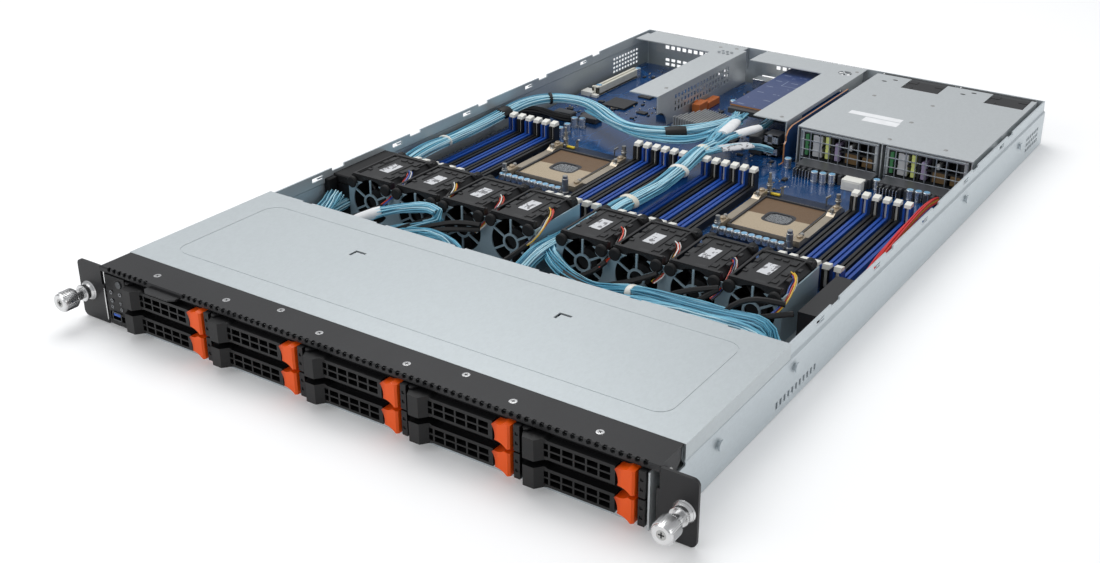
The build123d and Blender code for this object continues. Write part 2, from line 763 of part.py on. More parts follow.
# Fan wall: two sheet brackets, each with a guarded front, a floor and end plates, and the air dams
guard_back_y = fan_front_y - fit_gap
guard_front_y = guard_back_y - guard_plate
with BuildPart() as fan_wall:
    for row_x in fan_rows_x:
        row_centres = [(row_x + step * fan_pitch, fan_axis_z) for step in range(fans_per_row)]
        bracket_mid_x = row_x + fan_pitch * (fans_per_row - 1) / 2
        bracket_width = fan_pitch * (fans_per_row - 1) + fan_size + 5.0
        with BuildSketch(front_plane(guard_back_y)):
            with Locations((bracket_mid_x, (wall_plate_height + sheet) / 2)):
                Rectangle(bracket_width, wall_plate_height - sheet)
            with Locations(*row_centres):
                Circle(fan_duct_r - 1.0, mode=Mode.SUBTRACT)
            for centre in row_centres:
                with Locations(centre):
                    Circle(guard_ring_r)
                    Circle(guard_ring_r - guard_ring_width, mode=Mode.SUBTRACT)
                for spoke in range(guard_spokes):
                    spoke_turn = math.radians(spoke * 360 / guard_spokes + 30)
                    spoke_mid = (guard_ring_r + fan_duct_r - 1.4) / 2
                    spoke_place = (
                        centre[0] + spoke_mid * math.cos(spoke_turn),
                        centre[1] + spoke_mid * math.sin(spoke_turn),
                    )
                    with Locations(spoke_place):
                        Rectangle(
                            fan_duct_r - guard_ring_r + 1.4,
                            guard_spoke,
                            rotation=math.degrees(spoke_turn),
                        )
        extrude(amount=guard_plate)
        for side in (-1, 1):
            end_x = bracket_mid_x + side * (bracket_width / 2 - thin_sheet / 2)
            with BuildSketch(front_plane(guard_front_y + end_plate_depth)):
                with Locations((end_x, (wall_plate_height + sheet) / 2)):
                    Rectangle(thin_sheet, wall_plate_height - sheet)
            extrude(amount=end_plate_depth)
        # Rubber mounts in the top corners of each fan
        with BuildSketch(front_plane(guard_front_y)):
            for centre in row_centres:
                with Locations(
                    (centre[0] - 16.0, centre[1] + 13.6),
                    (centre[0] + 16.0, centre[1] + 13.6),
                ):
                    RegularPolygon(mount_pin_r, 12)
        extrude(amount=2.2)
    with BuildSketch(Plane.XY.offset(sheet)):
        with Locations((203.0, -107.5), (-208.0, -107.5)):
            Rectangle(18.0, 65.0)
    extrude(amount=dam_height - sheet)
fan_wall.part.label = "fan_wall"
export_step(fan_wall.part, "parts/fan_wall.step")

# System board: wide at the front, narrow behind beside the power supply bay
with BuildPart() as circuit_boards:
    with BuildSketch(Plane.XY.offset(board_top - board_thickness)):
        with BuildLine():
            Polyline(
                (-board_half, board_front_y),
                (board_half, board_front_y),
                (board_half, board_mid_y - 2),
                (board_right_x, board_mid_y - 2),
                (board_right_x, board_rear_y),
                (-board_half, board_rear_y),
                close=True,
            )
        make_face()
    extrude(amount=board_thickness)
    # Drive backplane behind the cage, with air windows
    with BuildSketch(front_plane(backplane_y)):
        with Locations((cage_mid_x, 20.4)):
            Rectangle(cage_width, 38.4)
            with GridLocations(column_pitch, 1, tray_columns, 1):
                Rectangle(40, 9, mode=Mode.SUBTRACT)
    extrude(amount=-board_sheet)
    with BuildSketch(front_plane(backplane_y)):
        with Locations((cage_mid_x, 12.0), (cage_mid_x, 12.0 + row_pitch)):
            with GridLocations(column_pitch, 1, tray_columns, 1):
                Rectangle(34, 4.4)
    extrude(amount=2.6)
    # Riser card standing beside the middle cage in its slot, its front corner cut back
    with BuildSketch(side_plane(riser_x)):
        with BuildLine():
            Polyline(
                (157.0, board_top + seat_gap),
                (riser_slot_y - riser_slot_run / 2 - 1.0, board_top + seat_gap),
                (riser_slot_y - riser_slot_run / 2 - 1.0, riser_slot_floor + seat_gap),
                (riser_slot_y + riser_slot_run / 2 + 1.0, riser_slot_floor + seat_gap),
                (riser_slot_y + riser_slot_run / 2 + 1.0, board_top + seat_gap),
                (300.0, board_top + seat_gap),
                (300.0, 39.6),
                (172.0, 39.6),
                (164.0, 37.5),
                (160.0, 33.0),
                (160.0, 28.0),
                (157.0, 26.0),
                close=True,
            )
        make_face()
    extrude(amount=board_sheet)
    # Expansion card lying flat, its edge in the riser card's slot
    with BuildSketch(Plane.XY.offset(33.0)):
        with Locations((-4.0, 279.0)):
            Rectangle(65.6, 140.0)  # its right edge lies at card_edge_x
    extrude(amount=board_sheet)
    with BuildSketch(side_plane(riser_x)):
        with Locations((250.0, 33.8)):
            Rectangle(88.0, 7.4)
    extrude(amount=card_edge_x - riser_x)
circuit_boards.part.label = "circuit_boards"
export_step(circuit_boards.part, "parts/circuit_boards.step")

# Memory sockets: grooved bars between two towers
slot_places = []
for first_x in bank_first_x:
    for step in range(slots_per_bank):
        slot_places.append(first_x + step * slot_pitch)
with BuildPart() as memory_sockets:
    with BuildSketch(front_plane(slot_y + slot_length / 2)):
        for slot_x in slot_places:
            with Locations((slot_x, board_top + slot_height / 2)):
                Rectangle(slot_width, slot_height)
            with Locations((slot_x, board_top + slot_height)):
                Rectangle(slot_groove, 7.0, mode=Mode.SUBTRACT)
    extrude(amount=slot_length)
    for end in (-1, 1):
        with BuildSketch(front_plane(slot_y + end * tower_offset + tower_length / 2)):
            for slot_x in slot_places:
                with Locations((slot_x, board_top + tower_height / 2)):
                    Rectangle(slot_width, tower_height)
                with Locations((slot_x, board_top + tower_height / 2 + 1.2)):
                    Rectangle(tower_groove, tower_height, mode=Mode.SUBTRACT)
        extrude(amount=tower_length)
memory_sockets.part.label = "memory_sockets"
export_step(memory_sockets.part, "parts/memory_sockets.step")

# Memory latches: a stem between the tower's cheeks, round at its pivot, with a thumb block on top
for end, end_name in ((-1, "front"), (1, "rear")):
    pivot_y = slot_y + end * (tower_offset + 0.8)
    with BuildPart() as latches:
        for slot_x in slot_places:
            with BuildSketch(side_plane(slot_x - latch_stem / 2)):
                with BuildLine():
                    Polyline(
                        (pivot_y - latch_pivot_r, latch_pivot_z),
                        (pivot_y - latch_pivot_r, latch_top - latch_block),
                        (pivot_y + latch_pivot_r, latch_top - latch_block),
                        (pivot_y + latch_pivot_r, latch_pivot_z),
                    )
                    ThreePointArc(
                        (pivot_y + latch_pivot_r, latch_pivot_z),
                        (pivot_y, latch_pivot_z - latch_pivot_r),
                        (pivot_y - latch_pivot_r, latch_pivot_z),
                    )
                make_face()
            extrude(amount=latch_stem)
            with BuildSketch(side_plane(slot_x - latch_width / 2)):
                with BuildLine():
                    Polyline(
                        (pivot_y - end * 4.2, latch_top - latch_block),
                        (pivot_y - end * 3.6, latch_top - 1.0),
                        (pivot_y + end * 2.6, latch_top),
                        (pivot_y + end * 3.6, latch_top - latch_block),
                        close=True,
                    )
                make_face()
            extrude(amount=latch_width)
    latches.part.label = f"memory_latches_{end_name}"
    export_step(latches.part, f"parts/memory_latches_{end_name}.step")

# Processor sockets: a plated frame with side strips and posts round an open contact field
with BuildPart() as cpu_sockets:
    for socket_x, socket_y in socket_centres:
        with BuildSketch(Plane.XY.offset(board_top)):
            with Locations((socket_x, socket_y)):
                RectangleRounded(socket_frame_width, socket_frame_length, 5)
                Rectangle(socket_width + 1.0, socket_length + 1.0, mode=Mode.SUBTRACT)
        extrude(amount=1.8)
        # Contact field with a rounded middle opening
        with BuildSketch(Plane.XY.offset(board_top)):
            with Locations((socket_x, socket_y)):
                Rectangle(socket_width, socket_length)
                RectangleRounded(21, 18, 7, mode=Mode.SUBTRACT)
        extrude(amount=3.0)
        with BuildSketch(Plane.XY.offset(board_top + 3.0)):
            with Locations((socket_x, socket_y)):
                Rectangle(socket_width, socket_length)
                Rectangle(socket_width - 3.0, socket_length - 3.0, mode=Mode.SUBTRACT)
        extrude(amount=1.4)
        # Strips along both sides, raised on feet at their ends
        for side in (-1, 1):
            strip_x = socket_x + side * (socket_frame_width / 2 - 3.6)
            with BuildSketch(side_plane(strip_x - 3.4)):
                with BuildLine():
                    Polyline(
                        (socket_y - 41.0, board_top + 1.8),
                        (socket_y - 41.0, board_top + 6.5),
                        (socket_y - 30.0, board_top + 6.5),
                        (socket_y - 24.0, board_top + 4.0),
                        (socket_y + 24.0, board_top + 4.0),
                        (socket_y + 30.0, board_top + 6.5),
                        (socket_y + 41.0, board_top + 6.5),
                        (socket_y + 41.0, board_top + 1.8),
                        close=True,
                    )
                make_face()
            extrude(amount=6.8)
        with BuildSketch(Plane.XY.offset(board_top)):
            with Locations((socket_x, socket_y)):
                with GridLocations(socket_frame_width - 12, socket_frame_length - 10, 2, 2):
                    RegularPolygon(post_r, 8)
        extrude(amount=post_height)
cpu_sockets.part.label = "cpu_sockets"
export_step(cpu_sockets.part, "parts/cpu_sockets.step")

# Parts on the board: finned heat sink, slot connectors, supply connectors, capacitors, ports
with BuildPart() as board_parts:
    with BuildSketch(Plane.XY.offset(board_top)):
        with BuildLine():
            Polyline((-85, 182), (-68, 221), (-34, 214), (-35, 175), close=True)
        make_face()
    extrude(amount=11.0)
    with BuildSketch(Plane.XY.offset(board_top + 2.5)):
        with Locations((-58, 198)):
            with GridLocations(5.0, 1, 11, 1):
                Rectangle(2.6, 60)
    extrude(amount=10.0, mode=Mode.SUBTRACT)
    # Riser slot connectors standing on the board
    for slot_x, slot_mid_y, slot_run in ((-196, 262, 84), (-84, 250, 44), (riser_x + board_sheet / 2, riser_slot_y, riser_slot_run)):
        with BuildSketch(front_plane(slot_mid_y + slot_run / 2)):
            with Locations((slot_x, board_top + 4.5)):
                Rectangle(7.4, 9.0)
            with Locations((slot_x, board_top + 9.0)):
                Rectangle(1.8, 11.0, mode=Mode.SUBTRACT)
        extrude(amount=slot_run)
    # Supply connector strips in front of the bay
    with BuildSketch(Plane.XY.offset(board_top)):
        with Locations((99.5, 145), (176.5, 145)):
            Rectangle(70, 22)
    extrude(amount=9.0)
    with BuildSketch(Plane.XY.offset(board_top + 2.0)):
        with Locations((99.5, 133), (176.5, 133)):
            with GridLocations(8.4, 1, 8, 1):
                Rectangle(5.4, 8)
    extrude(amount=8.0, mode=Mode.SUBTRACT)
    # Capacitors and coils
    with BuildSketch(Plane.XY.offset(board_top)):
        with Locations((56, 141), (87, 127), (94.5, 127), (102, 127), (-62, 150), (-52, 150)):
            RegularPolygon(3.3, 8)
    extrude(amount=10.0)
    for socket_x, socket_y in socket_centres:
        with BuildSketch(Plane.XY.offset(board_top)):
            with Locations((socket_x, socket_y - 60)):
                with GridLocations(8.6, 1, 9, 1):
                    Rectangle(6.6, 6.6)
        extrude(amount=5.0)
        with BuildSketch(Plane.XY.offset(board_top)):
            with Locations((socket_x, socket_y + 61)):
                with GridLocations(11, 1, 6, 1):
                    Rectangle(8.4, 8.0)
        extrude(amount=5.0)
    # Rear ports: shells that fill the port window
    with BuildSketch(Plane.XY.offset(board_top)):
        with Locations((-66, 341)):
            Rectangle(17, 14)
        with Locations((-48, 341), (-1, 341)):
            Rectangle(14, 14)
        with Locations((-25, 341)):
            Rectangle(30, 14)
        with Locations((22, 341)):
            Rectangle(28, 14)
    extrude(amount=6.0)
    with BuildSketch(Plane.XY.offset(board_top)):
        with Locations((-140, 190), (-185, 205), (-120, 235), (-150, 290), (-20, 130), (10, 150)):
            Rectangle(9, 9)
    extrude(amount=2.0)
board_parts.part.label = "board_parts"
export_step(board_parts.part, "parts/board_parts.step")

# Rear brackets: two riser cages and the power supply bay, each one folded sheet
cage_roof = 42.5
with BuildPart() as rear_brackets:
    # Left cage: roof with a large opening, right side wall down to the board
    with BuildSketch(front_plane(350.0)):
        with BuildLine():
            Polyline(
                (-211, cage_roof),
                (-91, cage_roof),
                (-91, board_top),
                (-100, board_top),
                (-100, board_top + thin_sheet),
                (-92, board_top + thin_sheet),
                (-92, cage_roof - thin_sheet),
                (-211, cage_roof - thin_sheet),
                close=True,
            )
        make_face()
    extrude(amount=185.0)
    with BuildSketch(Plane.XY.offset(cage_roof)):
        with Locations((-167.0, 242.75)):
            Rectangle(90.0, 165.5)
        with Locations((-106.8, 332.5)):
            with GridLocations(5.0, 9.0, 3, 2):
                RegularPolygon(2.0, 6)
            with GridLocations(5.0, 9.0, 4, 1):
                RegularPolygon(2.0, 6)
    extrude(amount=-2.0, mode=Mode.SUBTRACT)
    with BuildSketch(Plane.XY.offset(board_top + thin_sheet)):
        with Locations((-96.5, 245.0)):
            Rectangle(9.0, 161.0)
    extrude(amount=-thin_sheet, mode=Mode.SUBTRACT)
    with BuildSketch(side_plane(-92.5)):
        with Locations((255.0, 27.0)):
            with GridLocations(6.4, 6.4, 18, 3):
                Rectangle(4.2, 4.2)
        with Locations((168.0, 9.0)):
            Circle(16.0)
    extrude(amount=2.0, mode=Mode.SUBTRACT)
    # Middle cage
    with BuildSketch(front_plane(350.0)):
        with BuildLine():
            Polyline(
                (-74, cage_roof),
                (39.4, cage_roof),
                (39.4, board_top),
                (38.4, board_top),
                (38.4, cage_roof - thin_sheet),
                (-74, cage_roof - thin_sheet),
                close=True,
            )
        make_face()
    extrude(amount=179.0)
    with BuildSketch(Plane.XY.offset(cage_roof)):
        with Locations((-34.5, 244.5)):
            Rectangle(81.0, 159.0)
        with Locations((25.1, 337.4)):
            Circle(7.0)
            Rectangle(16.0, 1.6, rotation=35, mode=Mode.SUBTRACT)
            Rectangle(16.0, 1.6, rotation=-55, mode=Mode.SUBTRACT)
    extrude(amount=-2.0, mode=Mode.SUBTRACT)
    # Window in the middle cage's wall for the card slot on the riser card
    with BuildSketch(side_plane(38.0)):
        with Locations((250.0, 28.0)):
            Rectangle(92.0, 22.0)
    extrude(amount=2.0, mode=Mode.SUBTRACT)
    # Blank slot plates at the back of both cages
    with BuildSketch(front_plane(rear_y - sheet - fit_gap)):
        with Locations((-151.0, 31.0), (-17.0, 31.0)):
            Rectangle(112.0, 23.0)
        with Locations((-151.0, 29.5), (-17.0, 29.5)):
            with GridLocations(7.0, 6.0, 13, 2):
                Rectangle(4.8, 4.0, mode=Mode.SUBTRACT)
    extrude(amount=thin_sheet)
    with BuildSketch(Plane.XY.offset(cage_roof)):
        with Locations((-151.0, 356.0), (-17.0, 356.0)):
            Rectangle(112.0, 13.0)
    extrude(amount=-thin_sheet)
    # Supply bay: roof, outer walls and the wall between the two supplies
    bay_wall_x = (supply_left_x[0] + supply_width + supply_left_x[1]) / 2
    with BuildSketch(front_plane(bay_rear_y)):
        with BuildLine():
            Polyline(
                (bay_left_x, sheet),
                (bay_left_x, bay_top),
                (bay_right_x, bay_top),
                (bay_right_x, sheet),
                (bay_right_x - thin_sheet, sheet),
                (bay_right_x - thin_sheet, bay_top - thin_sheet),
                (bay_left_x + thin_sheet, bay_top - thin_sheet),
                (bay_left_x + thin_sheet, sheet),
                close=True,
            )
        make_face()
        with Locations((bay_wall_x, (sheet + bay_top) / 2)):
            Rectangle(thin_sheet, bay_top - sheet)
    extrude(amount=bay_rear_y - bay_front_y)
    with BuildSketch(Plane.XY.offset(bay_top)):
        with Locations((107.0, bay_rear_y - 15.0), (189.0, bay_rear_y - 15.0)):
            Rectangle(37.0, 32.0)
    extrude(amount=-thin_sheet, mode=Mode.SUBTRACT)
rear_brackets.part.label = "rear_brackets"
export_step(rear_brackets.part, "parts/rear_brackets.step")

# Power supplies: a sheet box with a barred front window, a fan at the back and a pull handle
supply_top = supply_floor_z + supply_height - 0.3
for number, left_x in enumerate(supply_left_x, start=1):
    supply_mid_x = left_x + supply_width / 2
    with BuildPart() as power_supply:
        with BuildSketch(front_plane(supply_rear_y)):
            with Locations((supply_mid_x, (supply_floor_z + supply_top) / 2)):
                Rectangle(supply_width, supply_top - supply_floor_z)
        extrude(amount=supply_rear_y - supply_front_y)
        chamfer(power_supply.edges().filter_by(Axis.Y), length=0.6)
        # Window at the inner end, with bars left standing
        with BuildSketch(front_plane(supply_front_y)):
            with Locations((supply_mid_x, 27.0)):
                with GridLocations(12.6, 11.5, 5, 2):
                    Rectangle(10.8, 9.8)
        extrude(amount=-14.0, mode=Mode.SUBTRACT)
        # Fan opening at the outer end
        with BuildSketch(front_plane(supply_rear_y)):
            with Locations((supply_mid_x - 12.0, 21.2)):
                Circle(17.0)
                Circle(8.0, mode=Mode.SUBTRACT)
        extrude(amount=7.0, mode=Mode.SUBTRACT)
        with BuildSketch(front_plane(supply_rear_y - 1.0)):
            with Locations((supply_mid_x - 12.0, 21.2)):
                Rectangle(34.0, 1.6)
                Rectangle(1.6, 34.0)
        extrude(amount=1.6)
        # Handle: a bent strap on the fan's outer side
        with BuildSketch(side_plane(supply_mid_x - 33.0)):
            with BuildLine():
                Polyline(
                    (supply_rear_y, 36.0),
                    (supply_rear_y + 14.0, 33.0),
                    (supply_rear_y + 14.0, 9.0),
                    (supply_rear_y, 6.0),
                    (supply_rear_y, 9.4),
                    (supply_rear_y + 10.6, 11.8),
                    (supply_rear_y + 10.6, 30.2),
                    (supply_rear_y, 32.6),
                    close=True,
                )
            make_face()
        extrude(amount=9.0)
        # Power inlet
        with BuildSketch(front_plane(supply_rear_y)):
            with Locations((supply_mid_x + 21.5, 26.0)):
                Rectangle(24.0, 17.0)
        extrude(amount=12.0, mode=Mode.SUBTRACT)
        with BuildSketch(front_plane(supply_rear_y - 12.0)):
            with Locations((supply_mid_x + 21.5, 26.0)):
                with GridLocations(6.0, 1, 3, 1):
                    Rectangle(1.6, 5.0)
        extrude(amount=-6.0)
    power_supply.part.label = f"power_supply_{number}"
    export_step(power_supply.part, f"parts/power_supply_{number}.step")

    # Release latch below the inlet: pressed towards the handle it frees the supply
    with BuildPart() as supply_latch:
        with BuildSketch(Plane.XY.offset(5.0)):
            with BuildLine():
                Polyline(
                    (supply_mid_x + 12.0, supply_rear_y + fit_gap),
                    (supply_mid_x + 12.0, supply_rear_y + 9.0),
                    (supply_mid_x + 14.0, supply_rear_y + 9.0),
                    (supply_mid_x + 16.5, supply_rear_y + 2.8),
                    (supply_mid_x + 33.0, supply_rear_y + 2.8),
                    (supply_mid_x + 33.0, supply_rear_y + fit_gap),
                    close=True,
                )
            make_face()
        extrude(amount=8.0)
    supply_latch.part.label = f"supply_latch_{number}"
    export_step(supply_latch.part, f"parts/supply_latch_{number}.step")

# Cable looms, each a round bundle along its real route, made of straight runs and tangent arcs
loom_routes = {
    "left": (
        8.0,
        [(-203, -194, 8), (-204, -172, 17), (-206, -146, 34), (-206, -112, 37), (-205, -75, 36),
         (-206, -40, 28),
         (-207, 0, 25), (-206, 40, 24), (-207, 80, 26), (-204, 115, 29), (-186, 138, 31),
         (-150, 145, 29), (-118, 131, 29), (-88, 111, 31), (-62, 104, 33), (-42, 110, 34.5),
         (-29, 131, 34.5), (-17, 157, 33), (-8, 184, 31)],
    ),
    "middle": (
        8.0,
        [(-12, 182, 35), (-9, 148, 35), (-3, 108, 34), (-1, 68, 33), (-3, 26, 34), (-5, -14, 34),
         (-6, -52, 33), (-7, -88, 27), (-6, -120, 23), (-8, -152, 15), (-22, -178, 9),
         (-50, -196, 7), (-84, -204, 7)],
    ),
    "front": (
        7.0,
        [(2, -170, 10), (30, -162, 11), (62, -156, 12), (96, -153, 14), (130, -152, 14),
         (164, -156, 13), (192, -172, 10), (204, -198, 7)],
    ),
    "power": (
        7.0,
        [(198, 128, 20), (206, 102, 27), (208, 66, 33), (209, 28, 34), (208, -10, 34),
         (206, -46, 35), (204, -84, 35), (204, -118, 36), (205, -147, 34), (206, -172, 18),
         (202, -194, 8)],
    ),
}


def loom_path(points):
    """Straight runs joined by arcs as large as the runs allow."""
    radii = []
    for before, here, after in zip(points, points[1:], points[2:]):
        run_in = Vector(*here) - Vector(*before)
        run_out = Vector(*after) - Vector(*here)
        half_turn = math.radians(run_in.get_angle(run_out)) / 2
        radii.append(0.45 * min(run_in.length, run_out.length) / math.tan(half_turn))
    return FilletPolyline(*points, radius=radii), radii


with BuildPart() as cable_looms:
    for loom_name, (loom_diameter, loom_points) in loom_routes.items():
        with BuildLine() as loom_line:
            path, bend_radii = loom_path(loom_points)
            add(path)
        with BuildSketch(Plane(origin=path @ 0, z_dir=path % 0)) as loom_section:
            Circle(loom_diameter / 2)
        sweep()
        print(loom_name, "bend radii", [round(radius) for radius in bend_radii])
        print(loom_name, "length", round(path.length), "section", round(loom_section.sketch.area, 1))
print("loom volume", round(cable_looms.part.volume))
cable_looms.part.label = "cable_looms"
export_step(cable_looms.part, "parts/cable_looms.step")
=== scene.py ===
# %% [markdown]
# # A one-unit rack server, opened from above
# The machine is a shallow steel pan. Ten drive trays face the front, eight fans blow over two
# processor sockets and their memory, and two power supplies sit at the back right. The CAD model
# gives every solid its size and place, so this script only dresses it. It adds materials, cables,
# labels, screws and the small parts on the board. X runs right, Y back and Z up, in metres.

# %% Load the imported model
import math

import bmesh
import bpy
from mathutils import Matrix, Vector


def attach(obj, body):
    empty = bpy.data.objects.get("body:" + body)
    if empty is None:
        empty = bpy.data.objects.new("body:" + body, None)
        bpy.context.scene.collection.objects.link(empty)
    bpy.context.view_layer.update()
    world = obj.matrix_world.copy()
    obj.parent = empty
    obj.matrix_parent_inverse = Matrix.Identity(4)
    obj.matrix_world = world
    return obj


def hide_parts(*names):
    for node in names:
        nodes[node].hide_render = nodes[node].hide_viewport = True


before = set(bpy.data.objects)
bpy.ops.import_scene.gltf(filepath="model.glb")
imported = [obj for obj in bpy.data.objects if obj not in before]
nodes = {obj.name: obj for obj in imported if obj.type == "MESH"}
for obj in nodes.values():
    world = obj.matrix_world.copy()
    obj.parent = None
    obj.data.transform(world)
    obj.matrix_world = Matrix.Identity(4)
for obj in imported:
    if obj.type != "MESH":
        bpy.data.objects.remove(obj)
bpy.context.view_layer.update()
MM = 0.001

# %% [markdown]
# ## Camera
# A photograph fixes its camera by where known sizes fall in it: the 482.6 mm ear span, the 730 mm
# pan and the one-unit height. Solving for those gives a lens, a place and three angles. The
# principal point lies off the middle, so the sensor is shifted a little.

# %% Camera
# The focal length and the offset of the middle are in pixels of a picture 1100 pixels wide.
picture_width, focal_length, middle_offset = 1100, 1340.693, (-74.97, -53.36)
camera_place = (0.50181, -0.87990, 0.43886)
azimuth, elevation, roll = (math.radians(angle) for angle in (30.915, 23.882, 1.243))
looking = Vector((-math.sin(azimuth) * math.cos(elevation), math.cos(azimuth) * math.cos(elevation),
                  -math.sin(elevation)))
level = looking.cross(Vector((0, 0, 1))).normalized()
upward = level.cross(looking)
right = level * math.cos(roll) + upward * math.sin(roll)
top = upward * math.cos(roll) - level * math.sin(roll)
lens = bpy.data.cameras.new("server_camera")
lens.sensor_width = 36
lens.lens = focal_length / picture_width * lens.sensor_width
lens.shift_x, lens.shift_y = (offset / picture_width for offset in middle_offset)
lens.clip_start, lens.clip_end = 0.05, 20
camera = bpy.data.objects.new("server_camera", lens)
facing = Matrix((right, top, -looking)).transposed().to_4x4()
camera.matrix_world = Matrix.Translation(camera_place) @ facing
bpy.context.scene.collection.objects.link(camera)
bpy.context.scene.camera = camera
print("lens", round(lens.lens, 2), "mm")

# %% [markdown]
# ## Floor and light
# A product photograph uses one broad soft light from above and pale surroundings, which give thin
# sheet metal its even grey and black plastic its soft edges. Large area lights and a white world
# do that, and the floor stays plain.

# %% Floor, lights and world
def area_light(name, place, aim, size, power):
    """A square soft light at place that faces aim."""
    lamp = bpy.data.lights.new(name, "AREA")
    lamp.size, lamp.energy = size, power
    lit = bpy.data.objects.new(name, lamp)
    lit.location = place
    lit.rotation_euler = (Vector(aim) - Vector(place)).to_track_quat("-Z", "Y").to_euler()
    bpy.context.scene.collection.objects.link(lit)


area_light("overhead_light", (-0.8, 0.4, 1.9), (0, 0, 0), 1.6, 24)
area_light("front_light", (-0.7, -1.9, 0.9), (0, -0.2, 0), 1.2, 10)
area_light("right_light", (1.9, 0.3, 0.7), (0, 0, 0), 1.0, 6)
world = bpy.data.worlds.new("studio")
world.use_nodes = True
world.node_tree.nodes["Background"].inputs["Color"].default_value = (0.95, 0.97, 1.0, 1)
world.node_tree.nodes["Background"].inputs["Strength"].default_value = 0.54
bpy.context.scene.world = world
bpy.context.scene.view_settings.view_transform = "Standard"
print("lights ready")

# %% [markdown]
# ## Writing finishes as sums
# A procedural finish is arithmetic on the place of a point: a stripe is a remainder, a mask is a
# comparison. One small class lets Python write that arithmetic, and each sum adds its Math node.
# A second class holds one material and adds every other node through one method.

# %% Shader arithmetic
class Number:
    """A shader value that can be added, multiplied and compared."""

    def __init__(self, finish, socket):
        self.finish, self.socket = finish, socket

    def sum(self, operation, *values):
        node = self.finish.add("ShaderNodeMath", {"operation": operation}, dict(enumerate(values)))
        return Number(self.finish, node.outputs[0])

    def __add__(self, other): return self.sum("ADD", self, other)
    def __sub__(self, other): return self.sum("SUBTRACT", self, other)
    def __rsub__(self, other): return self.sum("SUBTRACT", other, self)
    def __mul__(self, other): return self.sum("MULTIPLY", self, other)
    def __mod__(self, other): return self.sum("FLOORED_MODULO", self, other)
    def __gt__(self, other): return self.sum("GREATER_THAN", self, other)
    def __lt__(self, other): return self.sum("LESS_THAN", self, other)
    def __pow__(self, other): return self.sum("POWER", self, other)
    def __abs__(self): return self.sum("ABSOLUTE", self)
    __radd__, __rmul__ = __add__, __mul__

    def between(self, low, high):
        """1 inside the two limits, else 0."""
        return (self > low) * (self < high)

    def ramp(self, low, high):
        """0 at low, 1 at high."""
        limits = {"Value": self, "From Min": low, "From Max": high}
        return Number(self.finish, self.finish.add("ShaderNodeMapRange", {}, limits).outputs[0])


class Finish:
    """One material: its node tree, its shader and the place of a point in millimetres."""

    def __init__(self, name, colour, roughness, metallic=0.0, **fixed):
        self.material = bpy.data.materials.new(name)
        self.material.use_nodes = True
        self.tree = self.material.node_tree
        self.shader = self.tree.nodes["Principled BSDF"]
        self.paint("Base Color", (*colour, 1))
        self.paint("Roughness", roughness)
        self.paint("Metallic", metallic)
        for socket, value in fixed.items():
            self.paint(socket.replace("_", " "), value)
        self.point = self.add("ShaderNodeTexCoord").outputs["Object"]
        split = self.add("ShaderNodeSeparateXYZ", {}, {0: self.point})
        self.x, self.y, self.z = (Number(self, output) * 1000 for output in split.outputs)

    def add(self, kind, settings={}, values={}):
        """Any node: its type, its settings and the values or links of its sockets."""
        node = self.tree.nodes.new(kind)
        for setting, value in settings.items():
            if setting == "stops":
                for stop in range(len(value) - 2):
                    node.color_ramp.elements.new(0.5)
                for stop, (place, colour) in zip(node.color_ramp.elements, value):
                    stop.position, stop.color = place, (*colour, 1)
            elif setting == "interpolation":
                node.color_ramp.interpolation = value
            else:
                setattr(node, setting, value)
        for socket, value in values.items():
            value = value.socket if isinstance(value, Number) else value
            if isinstance(value, bpy.types.NodeSocket):
                self.tree.links.new(value, node.inputs[socket])
            elif isinstance(value, tuple) and node.inputs[socket].type == "RGBA":
                node.inputs[socket].default_value = (*value[:3], 1)
            else:
                node.inputs[socket].default_value = value
        return node

    def paint(self, socket, value):
        """Give a socket of the shader a value or a link."""
        value = value.socket if isinstance(value, Number) else value
        if isinstance(value, bpy.types.NodeSocket):
            self.tree.links.new(value, self.shader.inputs[socket])
        else:
            self.shader.inputs[socket].default_value = value

    def place(self, stretch):
        """The place of a point, scaled by a stretch on X, Y and Z if there is one."""
        if not stretch:
            return self.point
        return self.add("ShaderNodeMapping", {}, {"Vector": self.point, "Scale": stretch}).outputs[0]

    def noise(self, scale, detail, stretch=None):
        """Soft blotches, scale of them to a metre."""
        values = {"Vector": self.place(stretch), "Scale": scale, "Detail": detail}
        return Number(self, self.add("ShaderNodeTexNoise", {}, values).outputs[0])

    def cells(self, scale, output="Distance", feature="F1", stretch=None):
        """Irregular cells, scale of them to a metre."""
        values = {"Vector": self.place(stretch), "Scale": scale}
        return self.add("ShaderNodeTexVoronoi", {"feature": feature}, values).outputs[output]

    def mix(self, factor, first, second):
        """The first colour where factor is 0, the second where it is 1."""
        node = self.add("ShaderNodeMix", {"data_type": "RGBA"}, {0: factor})
        for socket, value in ((6, first), (7, second)):
            if isinstance(value, tuple):
                node.inputs[socket].default_value = (*value, 1)
            else:
                self.tree.links.new(value, node.inputs[socket])
        return node.outputs[2]

    def bump(self, height, depth, strength):
        """Relief from a height of 0 to 1, depth millimetres deep."""
        values = {"Height": height, "Distance": depth * MM, "Strength": strength}
        self.paint("Normal", self.add("ShaderNodeBump", {}, values).outputs[0])


print("shader arithmetic ready")

# %% [markdown]
# ## Sheet metal and black paint
# Galvanised sheet has spangle, the flat crystals of its zinc coat, and a faint roll direction. A
# pattern of irregular cells gives each crystal its own brightness and a little of its own gloss.
# The bezel is powder coated: black, and rough from a fine orange-peel relief.

# %% Sheet finishes
def shaded(colour, factor):
    """A colour made darker or lighter by a factor."""
    return tuple(min(1, part * factor) for part in colour)


